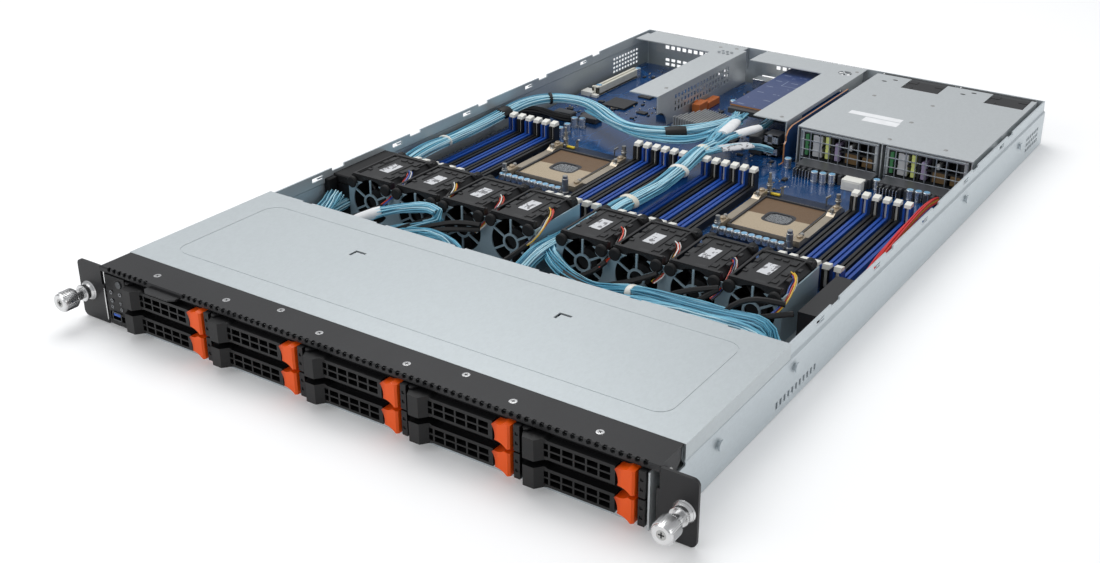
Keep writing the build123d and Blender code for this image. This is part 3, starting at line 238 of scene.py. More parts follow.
def galvanised(name, tone, roll=(1, 0.5, 1)):
    """Zinc-coated sheet of that tone, with spangle stretched along its roll direction."""
    steel = Finish(name, tone, 0.42, 0.62)
    crystal = steel.add("ShaderNodeSeparateColor", {}, {0: steel.cells(640, "Color", stretch=roll)})
    grain, clouds = steel.noise(1600, 1, roll), steel.noise(5, 1)
    shade = Number(steel, crystal.outputs[0]) * 0.30 + grain * 0.55 + clouds * 0.15
    steel.paint("Base Color", steel.mix(shade.ramp(0.25, 0.70), shaded(tone, 0.965), shaded(tone, 1.03)))
    steel.paint("Roughness", shade * 0.08 + 0.40)
    steel.bump(steel.noise(900, 2, roll), 0.02, 0.25)
    return steel.material


pan_steel = galvanised("pan_galvanised", (0.55, 0.60, 0.625))
cover_steel = galvanised("cover_galvanised", (0.505, 0.545, 0.56))
bracket_steel = galvanised("bracket_galvanised", (0.59, 0.62, 0.63))


def black(name, tone, roughness, grain, depth):
    """Black paint or plastic with a fine relief of grain marks to the metre."""
    coat = Finish(name, (tone, tone, tone * 1.06), roughness, Specular_IOR_Level=0.32)
    relief = coat.noise(grain, 2)
    coat.paint("Roughness", relief * 0.16 + (roughness - 0.08))
    dark, light = (tone * 0.8, tone * 0.8, tone * 0.86), (tone * 1.3, tone * 1.3, tone * 1.4)
    coat.paint("Base Color", coat.mix(coat.noise(40, 3), dark, light))
    coat.bump(relief, depth, 0.5)
    return coat.material


bezel_black = black("bezel_powder_coat", 0.0150, 0.42, 1500, 0.03)
moulded_black = black("moulded_black", 0.0050, 0.36, 2400, 0.02)
fan_black = black("fan_black", 0.0145, 0.46, 1800, 0.03)
rubber_black = black("rubber_black", 0.0075, 0.62, 1200, 0.03)
sleeve_black = black("sleeve_black", 0.0085, 0.50, 2600, 0.05)
print("sheet and black finishes ready")

# %% [markdown]
# ## Plastics, metals and paper
# Memory sockets come in two colours that alternate across each bank, so the colour is worked out
# from X: the remainder of the distance from the bank's first socket tells odd from even. The small
# parts need little more than a colour each, so one function makes them all.

# %% Plastics and plating
def plain(name, colour, roughness, metallic=0.0, grain=600):
    """A finish of one colour with faint blotches and a fine surface."""
    coat = Finish(name, colour, roughness, metallic)
    coat.paint("Base Color", coat.mix(coat.noise(120, 3), shaded(colour, 0.88), shaded(colour, 1.1)))
    coat.paint("Roughness", coat.noise(grain, 2) * 0.14 + (roughness - 0.07))
    coat.bump(coat.noise(grain * 2, 1), 0.02, 0.3)
    return coat.material


white_nylon = plain("white_nylon", (0.80, 0.79, 0.73), 0.45)
ivory_nylon = plain("ivory_nylon", (0.72, 0.70, 0.60), 0.45)
label_paper = plain("label_paper", (0.82, 0.83, 0.84), 0.62)
fan_paper = Finish("fan_label_paper", (0.6, 0.6, 0.6), 0.6)
marks = (fan_paper.noise(420, 1, (1, 0.5, 1)) > 0.56) * (fan_paper.noise(140, 1) > 0.44)
fan_paper.paint("Base Color", fan_paper.mix(marks, (0.62, 0.63, 0.65), (0.20, 0.20, 0.21)))
orange_nylon = plain("slot_orange", (0.62, 0.17, 0.04), 0.45)
bright_steel = plain("bright_steel", (0.66, 0.66, 0.66), 0.24, 1.0, 1500)
dark_metal = plain("dark_metal", (0.10, 0.105, 0.11), 0.38, 0.8)
grey_metal = plain("cast_grey", (0.34, 0.36, 0.37), 0.42, 0.7)
blue_tongue = plain("port_blue", (0.02, 0.09, 0.42), 0.4)
icon_grey = plain("icon_grey", (0.42, 0.44, 0.46), 0.5)
chip_black = plain("chip_black", (0.022, 0.022, 0.024), 0.5)
chip_tan = plain("chip_tan", (0.42, 0.33, 0.22), 0.5)
can_silver = plain("can_silver", (0.66, 0.68, 0.70), 0.28, 0.9)
steel_grey = plain("steel_grey", (0.42, 0.42, 0.41), 0.34, 0.85)
cooler_metal = plain("cooler_aluminium", (0.50, 0.51, 0.51), 0.42, 0.5)
wire_steel = plain("wire_steel", (0.42, 0.45, 0.48), 0.36, 0.7)
# A near black for painted shade: the fans' pits, the roof's slot holes and the dark inside of the supplies.
painted_shade_black = plain("painted_shade_black", (0.012, 0.013, 0.014), 0.5)
connector_grey = plain("connector_grey", (0.045, 0.047, 0.052), 0.38)
can_blue = plain("can_blue_top", (0.25, 0.50, 0.72), 0.35, 0.3)
print("plastics ready")

# %% Memory socket plastic
socket_plastic = Finish("memory_socket_plastic", (0.02, 0.08, 0.4), 0.34)
slot_pitch, first_bank = 9, -199.5
across = socket_plastic.x
bank_start = (across > -130) * 126 + (across > -4) * 77 + (across > 100) * 128 + first_bank
in_bank = across - bank_start
odd = (in_bank % (slot_pitch * 2)) > slot_pitch
socket_plastic.paint("Base Color", socket_plastic.mix(odd, (0.010, 0.070, 0.36), (0.008, 0.008, 0.009)))
contacts = (socket_plastic.y % 0.85).between(0.0, 0.42)
off_centre = abs((in_bank % slot_pitch) - slot_pitch / 2)
socket_plastic.bump(contacts * off_centre.between(0.8, 2.4), 0.25, 0.6)
print("memory sockets alternate every", slot_pitch, "mm")

# %% [markdown]
# ## The board
# A circuit board is copper tracks under a thin blue solder mask. Nobody can model thousands of
# tracks, so they are drawn by the finish. The edges of stretched cells read as tracks, and small
# rings round the middles of other cells read as vias. The upright riser card and the expansion card
# share this node, so masks on the place give the expansion card its paler blue and both their
# copper edges.

# %% Board solder mask
mask = Finish("board_solder_mask", (0.01, 0.08, 0.26), 0.2)
edges = Number(mask, mask.cells(60, feature="DISTANCE_TO_EDGE", stretch=(1, 0.3, 1)))
tracks = (edges < 0.03) * (mask.noise(30, 1) > 0.5)
fine = ((mask.x + mask.noise(9, 0) * 40) % 1.6 < 0.5) * (mask.noise(22, 1) > 0.6)
vias = Number(mask, mask.cells(330)).between(0.10, 0.17) * (mask.noise(26, 1) > 0.6)
deep = mask.mix(mask.noise(12, 2), (0.002, 0.027, 0.10), (0.005, 0.056, 0.185))
tracked = mask.mix((tracks + fine) * 0.35, deep, (0.02, 0.12, 0.34))
plated = mask.mix(vias, tracked, (0.30, 0.36, 0.42))
on_card = (mask.z > 30) * (mask.x < 30) * (mask.y > 190)
off_x, off_y = abs(mask.x + 8), abs(mask.y - 300)
chip_frame = (off_x - 12).between(-0.3, 0.3) + (off_y - 14).between(-0.3, 0.3)
chip_frame = chip_frame * (off_x < 12.3) * (off_y < 14.3)
dashes = (mask.x % 17).between(2, 9) * (mask.y % 21).between(4, 5)
printed = (dashes + chip_frame) * (mask.noise(60, 1) > 0.45)
card_blue = mask.mix(printed, (0.032, 0.058, 0.165), (0.30, 0.34, 0.46))
card_edge = mask.z.between(33.1, 34.5) * on_card + mask.x.between(43.7, 45.1) * (mask.y > 150)
laid = mask.mix(on_card, plated, card_blue)
mask.paint("Base Color", mask.mix(card_edge.between(0.5, 3), laid, (0.42, 0.19, 0.07)))
mask.paint("Roughness", mask.noise(300, 2) * 0.1 + 0.13 + on_card * 0.2)
mask.bump(tracks + fine, 0.04, 0.25)
print("board finish ready")

# %% [markdown]
# ## Finishes that follow the solid
# Some CAD nodes hold pieces of several materials: a socket has a plated frame round a field of
# contacts, a drive tray holds its drive, the fan wall ends in black air dams, and the front window of
# a supply is painted near black as painted shade of its inside. Masks on the place of a point tell
# them apart, so the node keeps its shape and still gets each finish where it belongs.

# %% Processor socket finish
socket_centres = ((-105.0, 30.0), (99.0, 33.0))
plating = Finish("socket_plating", (0.60, 0.56, 0.50), 0.3, 0.9)
(first_x, first_y), (second_x, second_y) = socket_centres
second = plating.x > 0
from_middle_x = plating.x - (second * (second_x - first_x) + first_x)
from_middle_y = plating.y - (second * (second_y - first_y) + first_y)
inside = (abs(from_middle_x) < 28.9) * (abs(from_middle_y) < 34.9)
well = (abs(from_middle_x) < 27.4) * (abs(from_middle_y) < 33.4)
pins = ((plating.x % 1.1) > 0.45) * ((plating.y % 1.0) > 0.45)
front_half = (from_middle_y - from_middle_x * 0.05) < 1.5
field = plating.mix(front_half, (0.17, 0.10, 0.048), (0.50, 0.41, 0.29))
pinned = plating.mix(pins, field, plating.mix(front_half, (0.115, 0.066, 0.032), (0.37, 0.29, 0.19)))
rim = ((abs(from_middle_x) * 0.078) ** 4 + (abs(from_middle_y) * 0.09) ** 4) < 1
housing = plating.mix(well * (1 - rim), (0.028, 0.030, 0.036), pinned)
strip = plating.mix(plating.noise(60, 3), (0.36, 0.305, 0.23), (0.50, 0.44, 0.35))
raised = plating.mix(plating.z > 10.9, (0.008, 0.022, 0.06), strip)
post = plating.mix(plating.z > 15.7, raised, (0.30, 0.30, 0.29))
plating.paint("Base Color", plating.mix(inside, post, housing))
plating.paint("Metallic", (1 - inside) * 0.6)
plating.paint("Roughness", inside * 0.22 + plating.noise(200, 2) * 0.12 + 0.28)
plating.bump(pins * well, 0.3, 0.6)
print("processor socket finish ready")

# %% Drive tray and catch finishes
tray_pitch, tray_row, first_tray = 80.85, 17.9, -192.4
tray_black = Finish("tray_black", (0.015, 0.015, 0.016), 0.38, Specular_IOR_Level=0.3)
in_tray, in_row = (tray_black.x - first_tray) % tray_pitch, tray_black.z % tray_row
drive_here = (tray_black.y > -359.4) * in_row.between(5.6, 15.4) * in_tray.between(4.8, 75.1)
tray_black.paint("Base Color", tray_black.mix(drive_here, (0.0065, 0.0065, 0.0072), (0.36, 0.37, 0.38)))
tray_black.paint("Metallic", drive_here * 0.8)
tray_black.bump(tray_black.noise(2200, 2), 0.02, 0.4)

catch_orange = Finish("catch_orange", (0.70, 0.080, 0.004), 0.34, Specular_IOR_Level=0.25)
# Each catch is painted darker red towards its left, in its concave hollow: painted shade.
hollow_shade = ((catch_orange.x - first_tray) % tray_pitch).ramp(61.0, 66.5)
catch_orange.paint("Base Color", catch_orange.mix(hollow_shade, (0.30, 0.022, 0.002), (0.74, 0.085, 0.004)))
catch_orange.bump(catch_orange.noise(1600, 2), 0.03, 0.4)
print("tray finishes ready")

# %% Fan wall and air dam finish
fan_wall = Finish("fan_wall_and_dams", (0.36, 0.47, 0.53), 0.42, 0.5)
dam = (fan_wall.x > 190) + (fan_wall.x < -199)
bare_steel = fan_wall.mix(fan_wall.noise(900, 2), (0.33, 0.44, 0.50), (0.38, 0.49, 0.55))
fan_wall.paint("Base Color", fan_wall.mix(dam, bare_steel, (0.008, 0.008, 0.009)))
fan_wall.paint("Metallic", (1 - dam) * 0.5)
fan_wall.bump(fan_wall.noise(1200, 2), 0.03, 0.3)
print("fan wall finish ready")

# %% Power supply finish
supply_steel = Finish("supply_galvanised", (0.60, 0.63, 0.64), 0.4, 0.6)
supply_pitch, first_supply = 79.5, 56.0
from_left = (supply_steel.x > 132) * -supply_pitch + supply_steel.x - first_supply
# The front window is painted near black: painted shade of the supply's inside.
window_shade = from_left.between(3.4, 70.1) * supply_steel.z.between(15.6, 38.4) * (supply_steel.y < 180.4)
at_back = supply_steel.y > 349.5
bare_steel = supply_steel.mix(supply_steel.noise(300, 2), (0.56, 0.59, 0.60), (0.64, 0.67, 0.68))
supply_steel.paint("Base Color", supply_steel.mix(window_shade + at_back, bare_steel, (0.012, 0.013, 0.014)))
supply_steel.paint("Metallic", (1 - window_shade) * (1 - at_back) * 0.6)
supply_steel.bump(supply_steel.noise(900, 2), 0.02, 0.25)
print("supply finish ready")

# %% [markdown]
# ## Dressing the CAD nodes
# Every CAD node gets its finish here, by its name or by the start of its name where there are
# several of a kind. The cables, the parts on the board and the thumbscrews are dressed too, but
# finer pieces stand in for those nodes further down, so this finish isn't seen on them.

# %% A finish for every CAD node
def dress(node, material):
    """Put a material in every slot of a CAD node."""
    if not nodes[node].material_slots:
        nodes[node].data.materials.append(material)
    for slot in nodes[node].material_slots:
        slot.material = material


by_start = {
    "chassis_base": pan_steel, "front_cover": cover_steel, "front_bezel": bezel_black,
    "drive_cage": bracket_steel, "control_panel": moulded_black, "fan_housings": fan_black,
    "fan_wall": fan_wall.material, "circuit_boards": mask.material,
    "memory_sockets": socket_plastic.material, "cpu_sockets": plating.material,
    "rear_brackets": bracket_steel, "power_button": dark_metal, "board_parts": grey_metal,
    "cable_looms": blue_tongue,
    "drive_tray": tray_black.material, "tray_lever": moulded_black, "tray_catch": catch_orange.material,
    "fan_rotor": fan_black, "thumbscrew": bright_steel, "memory_latches": white_nylon,
    "power_supply": supply_steel.material, "supply_latch": moulded_black,
}
for node in nodes:
    dress(node, next(finish for start, finish in by_start.items() if node.startswith(start)))
print("dressed", len(nodes), "CAD nodes")

# %% [markdown]
# ## Solid forms in millimetres
# The small parts are boxes with broken edges, turned forms and flat outlines with a thickness.
# One class gathers such forms in a bmesh, in the CAD model's own millimetres, and hands them over
# as one object that sits at the origin and rides on its body.

# %% Forms and pieces
SHARP = math.radians(35)  # an edge that turns by more than this stays sharp


def keep(mesh, name, body):
    """A finished mesh becomes a piece that rides on a CAD body."""
    mesh.name = name
    mesh.polygons.foreach_set("use_smooth", [True] * len(mesh.polygons))
    mesh.set_sharp_from_angle(angle=SHARP)
    piece = bpy.data.objects.new(name, mesh)
    bpy.context.scene.collection.objects.link(piece)
    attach(piece, body)
    return piece


def on_axis(a, b, height, axis):
    """A point from two measures across an axis and a height along it."""
    return {"Z": (a, b, height), "Y": (a, height, b), "X": (height, a, b)}[axis]


class Shape:
    """Solid forms gathered in millimetres."""

    def __init__(self):
        self.mesh = bmesh.new()

    def block(self, low, high, edge=0.0):
        """A box between two corners, its edges broken by edge."""
        made = bmesh.ops.create_cube(self.mesh, size=1)["verts"]
        for vertex in made:
            vertex.co = Vector(low[i] + (vertex.co[i] + 0.5) * (high[i] - low[i]) for i in range(3))
        if edge:
            sides = list({side for vertex in made for side in vertex.link_edges})
            bmesh.ops.bevel(self.mesh, geom=sides, offset=edge, segments=1, affect="EDGES")
        return self

    def turned(self, profile, middle=(0, 0, 0), axis="Z", sides=20):
        """A form turned round an axis, from (radius, height) pairs."""
        turns = [math.tau * s / sides for s in range(sides)]
        rings = []
        for radius, height in profile:
            spots = [(radius * math.cos(turn), radius * math.sin(turn)) for turn in turns]
            spots = spots if radius else [(0.0, 0.0)]
            places = [Vector(middle) + Vector(on_axis(a, b, height, axis)) for a, b in spots]
            rings.append([self.mesh.verts.new(place) for place in places])
        for low, high in zip(rings, rings[1:]):
            for s in range(sides):
                corners = [low[s % len(low)], low[(s + 1) % len(low)]]
                corners += [high[(s + 1) % len(high)], high[s % len(high)]]
                corners = list(dict.fromkeys(corners))
                if len(corners) > 2:
                    self.mesh.faces.new(corners)
        for ring in (rings[0], rings[-1]):
            if len(ring) > 1:
                self.mesh.faces.new(ring)
        return self

    def plate(self, outline, low, high, axis="Z"):
        """A flat outline with a thickness from low to high along an axis."""
        floor = [self.mesh.verts.new(on_axis(a, b, low, axis)) for a, b in outline]
        roof = [self.mesh.verts.new(on_axis(a, b, high, axis)) for a, b in outline]
        self.mesh.faces.new(floor)
        self.mesh.faces.new(roof)
        for s in range(len(outline)):
            t = (s + 1) % len(outline)
            self.mesh.faces.new((floor[s], floor[t], roof[t], roof[s]))
        return self

    def to_mesh(self, material):
        """The gathered forms as one mesh in metres, faces outwards."""
        bmesh.ops.recalc_face_normals(self.mesh, faces=self.mesh.faces)
        bmesh.ops.scale(self.mesh, vec=(MM, MM, MM), verts=self.mesh.verts)
        mesh = bpy.data.meshes.new("form")
        self.mesh.to_mesh(mesh)
        self.mesh.free()
        mesh.materials.append(material)
        return mesh

    def piece(self, name, material, body="chassis", slot=None):
        """The gathered forms as one finished piece."""
        return keep(self.to_mesh(material), name, body)


print("forms ready")

# %% [markdown]
# ## Geometry Nodes for what repeats
# Screws, labels, capacitors and rubber mounts are one form at many places, and a cable bundle is
# one strand many times along a route. Geometry Nodes are made for both. Each tree is built here
# with named inputs, run once, and turned into a plain mesh, because an exported model can't keep
# instances.

# %% Geometry Nodes trees
class Tree:
    """A Geometry Nodes tree with named inputs."""

    kinds = {"object": "NodeSocketObject", "material": "NodeSocketMaterial", "count": "NodeSocketInt",
             "size": "NodeSocketFloat"}

    def __init__(self, name, **inputs):
        self.group = bpy.data.node_groups.new(name, "GeometryNodeTree")
        face = self.group.interface
        face.new_socket("Geometry", in_out="INPUT", socket_type="NodeSocketGeometry")
        face.new_socket("Geometry", in_out="OUTPUT", socket_type="NodeSocketGeometry")
        self.names = {}
        for label, kind in inputs.items():
            socket = face.new_socket(label, in_out="INPUT", socket_type=self.kinds[kind])
            self.names[label] = socket.identifier
        self.start = self.group.nodes.new("NodeGroupInput")
        self.end = self.group.nodes.new("NodeGroupOutput")

    def given(self, label):
        """The socket that carries a named input."""
        return self.start.outputs[label]

    def add(self, kind, settings={}, values={}, output=0):
        """Any node; what comes back is one of its outputs, or the node itself for None."""
        node = self.group.nodes.new(kind)
        for setting, value in settings.items():
            setattr(node, setting, value)
        for socket, value in values.items():
            if isinstance(value, bpy.types.NodeSocket):
                self.group.links.new(value, node.inputs[socket])
            else:
                node.inputs[socket].default_value = value
        return node if output is None else node.outputs[output]

    def sum(self, operation, *values):
        return self.add("ShaderNodeMath", {"operation": operation}, dict(enumerate(values)))

    def vector(self, operation, *values):
        return self.add("ShaderNodeVectorMath", {"operation": operation}, dict(enumerate(values)))

    def close(self, geometry):
        """Realize the instances, set the material and end the tree."""
        real = self.add("GeometryNodeRealizeInstances", {}, {0: geometry})
        coated = self.add("GeometryNodeSetMaterial", {},
                          {"Geometry": real, "Material": self.given("Material")})
        self.group.links.new(coated, self.end.inputs[0])

    def grow(self, start, name, body="chassis", slot=None, **values):
        """Run the tree on a start mesh and keep what it makes as a plain mesh."""
        maker = bpy.data.objects.new(name + "_start", start)
        bpy.context.scene.collection.objects.link(maker)
        modifier = maker.modifiers.new("tree", "NODES")
        modifier.node_group = self.group
        for label, value in values.items():
            modifier[self.names[label]] = value
        bpy.context.view_layer.update()
        made = bpy.data.meshes.new_from_object(maker.evaluated_get(bpy.context.evaluated_depsgraph_get()))
        maker.modifiers.clear()
        bpy.data.objects.remove(maker)
        print(name, len(made.polygons), "faces")
        return keep(made, name, body)


repeats = Tree("repeat_a_form", Form="object", Material="material")
form = repeats.add("GeometryNodeObjectInfo", {}, {"Object": repeats.given("Form")}, "Geometry")
turning = repeats.add("GeometryNodeInputNamedAttribute", {"data_type": "FLOAT_VECTOR"}, {"Name": "turn"})
swelling = repeats.add("GeometryNodeInputNamedAttribute", {"data_type": "FLOAT_VECTOR"}, {"Name": "swell"})
copied = {"Points": repeats.given("Geometry"), "Instance": form, "Rotation": turning, "Scale": swelling}
repeats.close(repeats.add("GeometryNodeInstanceOnPoints", {}, copied))


def repeat(shape, places, name, material, body="chassis", slot=None):
    """Place one form many times. A place is (x, y, z), or ((x, y, z), turn in degrees, scale)."""
    unturned, full_size = (0, 0, 0), (1, 1, 1)
    places = [(*place, full_size)[:3] if isinstance(place[0], tuple) else (place, unturned, full_size)
              for place in places]
    points = bpy.data.meshes.new(name + "_points")
    points.from_pydata([Vector(place) * MM for place, turn, size in places], [], [])
    turns = [math.radians(angle) for place, turn, size in places for angle in turn]
    sizes = [part for place, turn, size in places for part in size]
    for label, values in (("turn", turns), ("swell", sizes)):
        points.attributes.new(label, "FLOAT_VECTOR", "POINT").data.foreach_set("vector", values)
    unit = bpy.data.objects.new(name + "_unit", shape.to_mesh(material))
    piece = repeats.grow(points, name, body, slot, Form=unit, Material=material)
    bpy.data.objects.remove(unit)
    return piece


print("trees ready")

# %% [markdown]
# ## Cable bundles
# Each bundle is a few dozen thin insulated wires laid side by side. A given route gives its
# middle line, a smooth NURBS spline. The tree copies that line once for each wire, moves each copy
# off the middle by its own amount, lets it wander a little, and skins it. A number kept on each
# wire sets its blue, whose darkest and palest are painted shade and painted highlights.

# %% The bundle tree
GOLDEN_ANGLE = 2.399963  # each wire turns on by this, which fills a round section evenly
POINT_STEP = 0.006  # a point on the line every 6 mm
LANE_STEP, DRIFT_RATE = 7.31, 6.0  # where in the noise each wire starts, and how far it goes along it
bundles = Tree("cable_bundle", Strands="count", Width="size", Thickness="size", Strand_Radius="size",
               Twist="size", Wander="size", Seed="count", Material="material")
line = bundles.add("GeometryNodeMeshToCurve", {}, {0: bundles.given("Geometry")})
line = bundles.add("GeometryNodeResampleCurve", {"mode": "LENGTH"}, {"Curve": line, "Length": POINT_STEP})
line = bundles.add("GeometryNodeSetCurveNormal", {"mode": "Z_UP"}, {"Curve": line})
copies = bundles.add("GeometryNodeDuplicateElements", {"domain": "SPLINE"},
                     {"Geometry": line, "Amount": bundles.given("Strands")}, None)
number = copies.outputs["Duplicate Index"]
gone = bundles.add("GeometryNodeSplineParameter")
angle = bundles.sum("ADD", bundles.sum("MULTIPLY", number, GOLDEN_ANGLE),
                    bundles.sum("MULTIPLY", gone, bundles.given("Twist")))
reach = bundles.sum("DIVIDE", bundles.sum("ADD", number, 0.5), bundles.given("Strands"))
reach = bundles.sum("SQRT", reach)
seeded = bundles.sum("ADD", bundles.sum("MULTIPLY", number, LANE_STEP), bundles.given("Seed"))
lane = bundles.add("ShaderNodeCombineXYZ", {}, {0: seeded, 1: bundles.sum("MULTIPLY", gone, DRIFT_RATE)})
drift = bundles.add("ShaderNodeTexNoise", {}, {"Vector": lane, "Scale": 1.0, "Detail": 1.0}, "Color")
drift = bundles.vector("SUBTRACT", drift, (0.5, 0.5, 0.5))
wander = bundles.add("ShaderNodeCombineXYZ", {}, {axis: bundles.given("Wander") for axis in range(3)})
drift = bundles.vector("MULTIPLY", drift, wander)
sideways = bundles.add("GeometryNodeInputNormal")
onward = bundles.add("GeometryNodeInputTangent")
over = bundles.vector("CROSS_PRODUCT", sideways, onward)


def off_middle(direction, wave, size):
    """How far a wire lies from the middle line in one direction."""
    share = bundles.sum("MULTIPLY", bundles.sum(wave, angle), reach)
    amount = bundles.sum("MULTIPLY", share, bundles.sum("MULTIPLY", bundles.given(size), 0.5))
    return bundles.add("ShaderNodeVectorMath", {"operation": "SCALE"}, {0: direction, "Scale": amount})


across, upright = off_middle(sideways, "COSINE", "Width"), off_middle(over, "SINE", "Thickness")
offset = bundles.vector("ADD", bundles.vector("ADD", across, upright), drift)
wires = bundles.add("GeometryNodeSetPosition", {}, {"Geometry": copies.outputs[0], "Offset": offset})
shade = bundles.add("FunctionNodeRandomValue", {"data_type": "FLOAT"},
                    {"ID": number, "Seed": bundles.given("Seed")}, 1)
wires = bundles.add("GeometryNodeStoreNamedAttribute", {"data_type": "FLOAT", "domain": "POINT"},
                    {"Geometry": wires, "Name": "strand", "Value": shade})
ring = bundles.add("GeometryNodeCurvePrimitiveCircle", {},
                   {"Resolution": 6, "Radius": bundles.given("Strand_Radius")})
skin = bundles.add("GeometryNodeCurveToMesh", {},
                   {"Curve": wires, "Profile Curve": ring, "Fill Caps": True})
bundles.close(skin)
print("bundle tree has", len(bundles.group.nodes), "nodes")

# %% Routes and runs of cable
def route_line(points):
    """The NURBS spline through given points in metres, as a line of vertices."""
    curve = bpy.data.curves.new("route", "CURVE")
    curve.dimensions = "3D"
    spline = curve.splines.new("NURBS")
    spline.points.add(len(points) - 1)
    for spot, point in zip(spline.points, points):
        spot.co = (*point, 1)
    spline.order_u = 3
    spline.use_endpoint_u = True
    spline.resolution_u = 8
    holder = bpy.data.objects.new("route", curve)
    bpy.context.scene.collection.objects.link(holder)
    made = bpy.data.meshes.new_from_object(holder)
    bpy.data.objects.remove(holder)
    return made


def bundle(points, name, material, strands, width, thickness, strand_radius, twist, wander, seed):
    """A bundle along a route in metres; its own sizes are in millimetres."""
    return bundles.grow(route_line(points), name, Strands=strands, Width=width * MM,
                        Thickness=thickness * MM, Strand_Radius=strand_radius * MM, Twist=twist,
                        Wander=wander * MM, Seed=seed, Material=material)


def in_metres(points):
    """Points given in millimetres, for a route."""
    return [Vector(point) * MM for point in points]


def along(points, share):
    """Place and direction at a share of a route's length, in metres."""
    line = [vertex.co.copy() for vertex in route_line(points).vertices]
    lengths = [(b - a).length for a, b in zip(line, line[1:])]
    left = sum(lengths) * share
    for (a, b), length in zip(zip(line, line[1:]), lengths):
        if left <= length:
            return a.lerp(b, left / length), (b - a).normalized()
        left -= length
    return line[-1], (line[-1] - line[-2]).normalized()


# %% [markdown]
# ## Colours of the wires
# Wire insulation is smooth plastic in one colour, and the colours differ from wire to wire. The
# bundle tree stores a number on each wire, and a colour ramp turns it into a colour: a smooth ramp
# of blues for the data wires, whose dark and pale ends are painted shade and painted highlights,
# and a stepped one for leads of clearly different colours.

# %% Wire finishes
def wires_of(name, colour, roughness, gloss, stops, interpolation="LINEAR"):
    """Insulation that takes its colour from the number kept on each wire."""
    coat = Finish(name, colour, roughness)
    number = coat.add("ShaderNodeAttribute", {"attribute_name": "strand"}).outputs["Fac"]
    ramp = coat.add("ShaderNodeValToRGB", {"interpolation": interpolation, "stops": stops}, {0: number})
    coat.paint("Base Color", ramp.outputs[0])
    coat.paint("Roughness", coat.noise(700, 1) * 0.15 + gloss)
    return coat.material


# The darkest and palest stops are painted shade between the wires and painted highlights on them; the stops
# between are the wires' own blues.
strand_blue = wires_of("strand_blue", (0.16, 0.45, 0.62), 0.3, 0.24, [
    (0.0, (0.02, 0.13, 0.23)), (0.3, (0.10, 0.38, 0.54)),
    (0.7, (0.22, 0.56, 0.72)), (1.0, (0.58, 0.84, 0.92))])
lead_colours = wires_of("fan_lead_colours", (0.6, 0.05, 0.03), 0.35, 0.27, [
    (0.0, (0.60, 0.05, 0.02)), (0.3, (0.02, 0.02, 0.02)), (0.45, (0.70, 0.45, 0.03)),
    (0.6, (0.72, 0.72, 0.70)), (0.8, (0.03, 0.08, 0.35))], "CONSTANT")
power_colours = wires_of("power_lead_colours", (0.6, 0.02, 0.02), 0.35, 0.27, [
    (0.0, (0.62, 0.02, 0.02)), (0.78, (0.015, 0.015, 0.016)), (0.86, (0.70, 0.40, 0.02))], "CONSTANT")
print("cable finishes ready")

# %% [markdown]
# ## The looms
# Three blue data looms and one power loom run from the back and the middle of the machine to the
# drive bay. Each route is a row of points in metres, read from the photograph where it is seen and
# guessed where it isn't. The four main looms stand in for the CAD model's plain bundles; the lower
# runs and the branches only follow them.

# %% The four looms
left_route = [(-.203, -.196, .008), (-.204, -.176, .013), (-.205, -.150, .015), (-.206, -.112, .015),
              (-.206, -.082, .018), (-.205, -.060, .027), (-.204, -.036, .030), (-.206, 0, .027),
              (-.206, .040, .027), (-.207, .080, .029), (-.204, .113, .031), (-.186, .137, .032),
              (-.158, .144, .031), (-.134, .134, .030), (-.110, .116, .030), (-.088, .104, .031),
              (-.064, .101, .033), (-.042, .107, .0345), (-.027, .127, .0345), (-.018, .152, .033),
              (-.012, .176, .031)]
middle_route = [(.000, .104, .032), (-.002, .088, .032), (-.002, .070, .030), (.000, .050, .028),
                (.001, .030, .027), (.002, 0, .026), (.000, -.030, .0265), (-.0025, -.046, .0275),
                (-.0036, -.060, .026), (-.0038, -.074, .0245), (-.007, -.088, .0235),
                (-.008, -.100, .0235), (-.008, -.118, .0245), (-.008, -.136, .0255),
                (-.009, -.149, .025), (-.012, -.157, .020), (-.015, -.166, .013), (-.026, -.186, .008),
                (-.050, -.204, .007)]
branch_routes = [
    [(.000, .090, .033), (.000, .106, .034), (-.002, .124, .035), (-.005, .146, .035),
     (-.010, .170, .033), (-.014, .196, .031)],
    [(.001, .092, .033), (.004, .108, .034), (.006, .124, .035), (.009, .142, .034), (.013, .160, .033),
     (.014, .184, .031), (.010, .200, .030)],
    [(-.001, .088, .032), (-.004, .104, .034), (-.008, .124, .036), (-.011, .150, .034),
     (-.017, .176, .032), (-.024, .198, .030)],
    [(.003, .084, .032), (.009, .092, .033), (.014, .106, .032), (.020, .122, .030), (.028, .140, .026),
     (.036, .150, .021)],
]
front_route = [(-.015, -.126, .024), (-.006, -.140, .024), (.007, -.152, .022), (.022, -.157, .017),
               (.046, -.161, .014), (.072, -.164, .022), (.096, -.165, .026), (.118, -.166, .026),
               (.142, -.167, .027), (.164, -.167, .029), (.180, -.167, .030), (.190, -.168, .023),
               (.193, -.174, .014), (.190, -.190, .008)]
low_front_route = [(.040, -.170, .010), (.066, -.180, .020), (.092, -.181, .026), (.115, -.180, .028),
                   (.138, -.180, .028), (.162, -.179, .029), (.182, -.178, .027), (.196, -.180, .018),
                   (.202, -.190, .009)]
power_route = [(.197, .128, .018), (.200, .108, .024), (.201, .087, .0280), (.202, .056, .0280),
               (.203, .020, .027), (.204, -.013, .025), (.205, -.045, .020), (.205, -.070, .014),
               (.204, -.100, .012), (.204, -.130, .012), (.204, -.160, .010), (.204, -.185, .010),
               (.202, -.200, .008)]
second_route = [(-.150, .138, .026), (-.118, .121, .027), (-.085, .100, .029), (-.060, .098, .029),
                (-.036, .100, .030), (-.018, .108, .033), (-.009, .126, .035), (-.009, .150, .034),
                (-.014, .178, .032)]
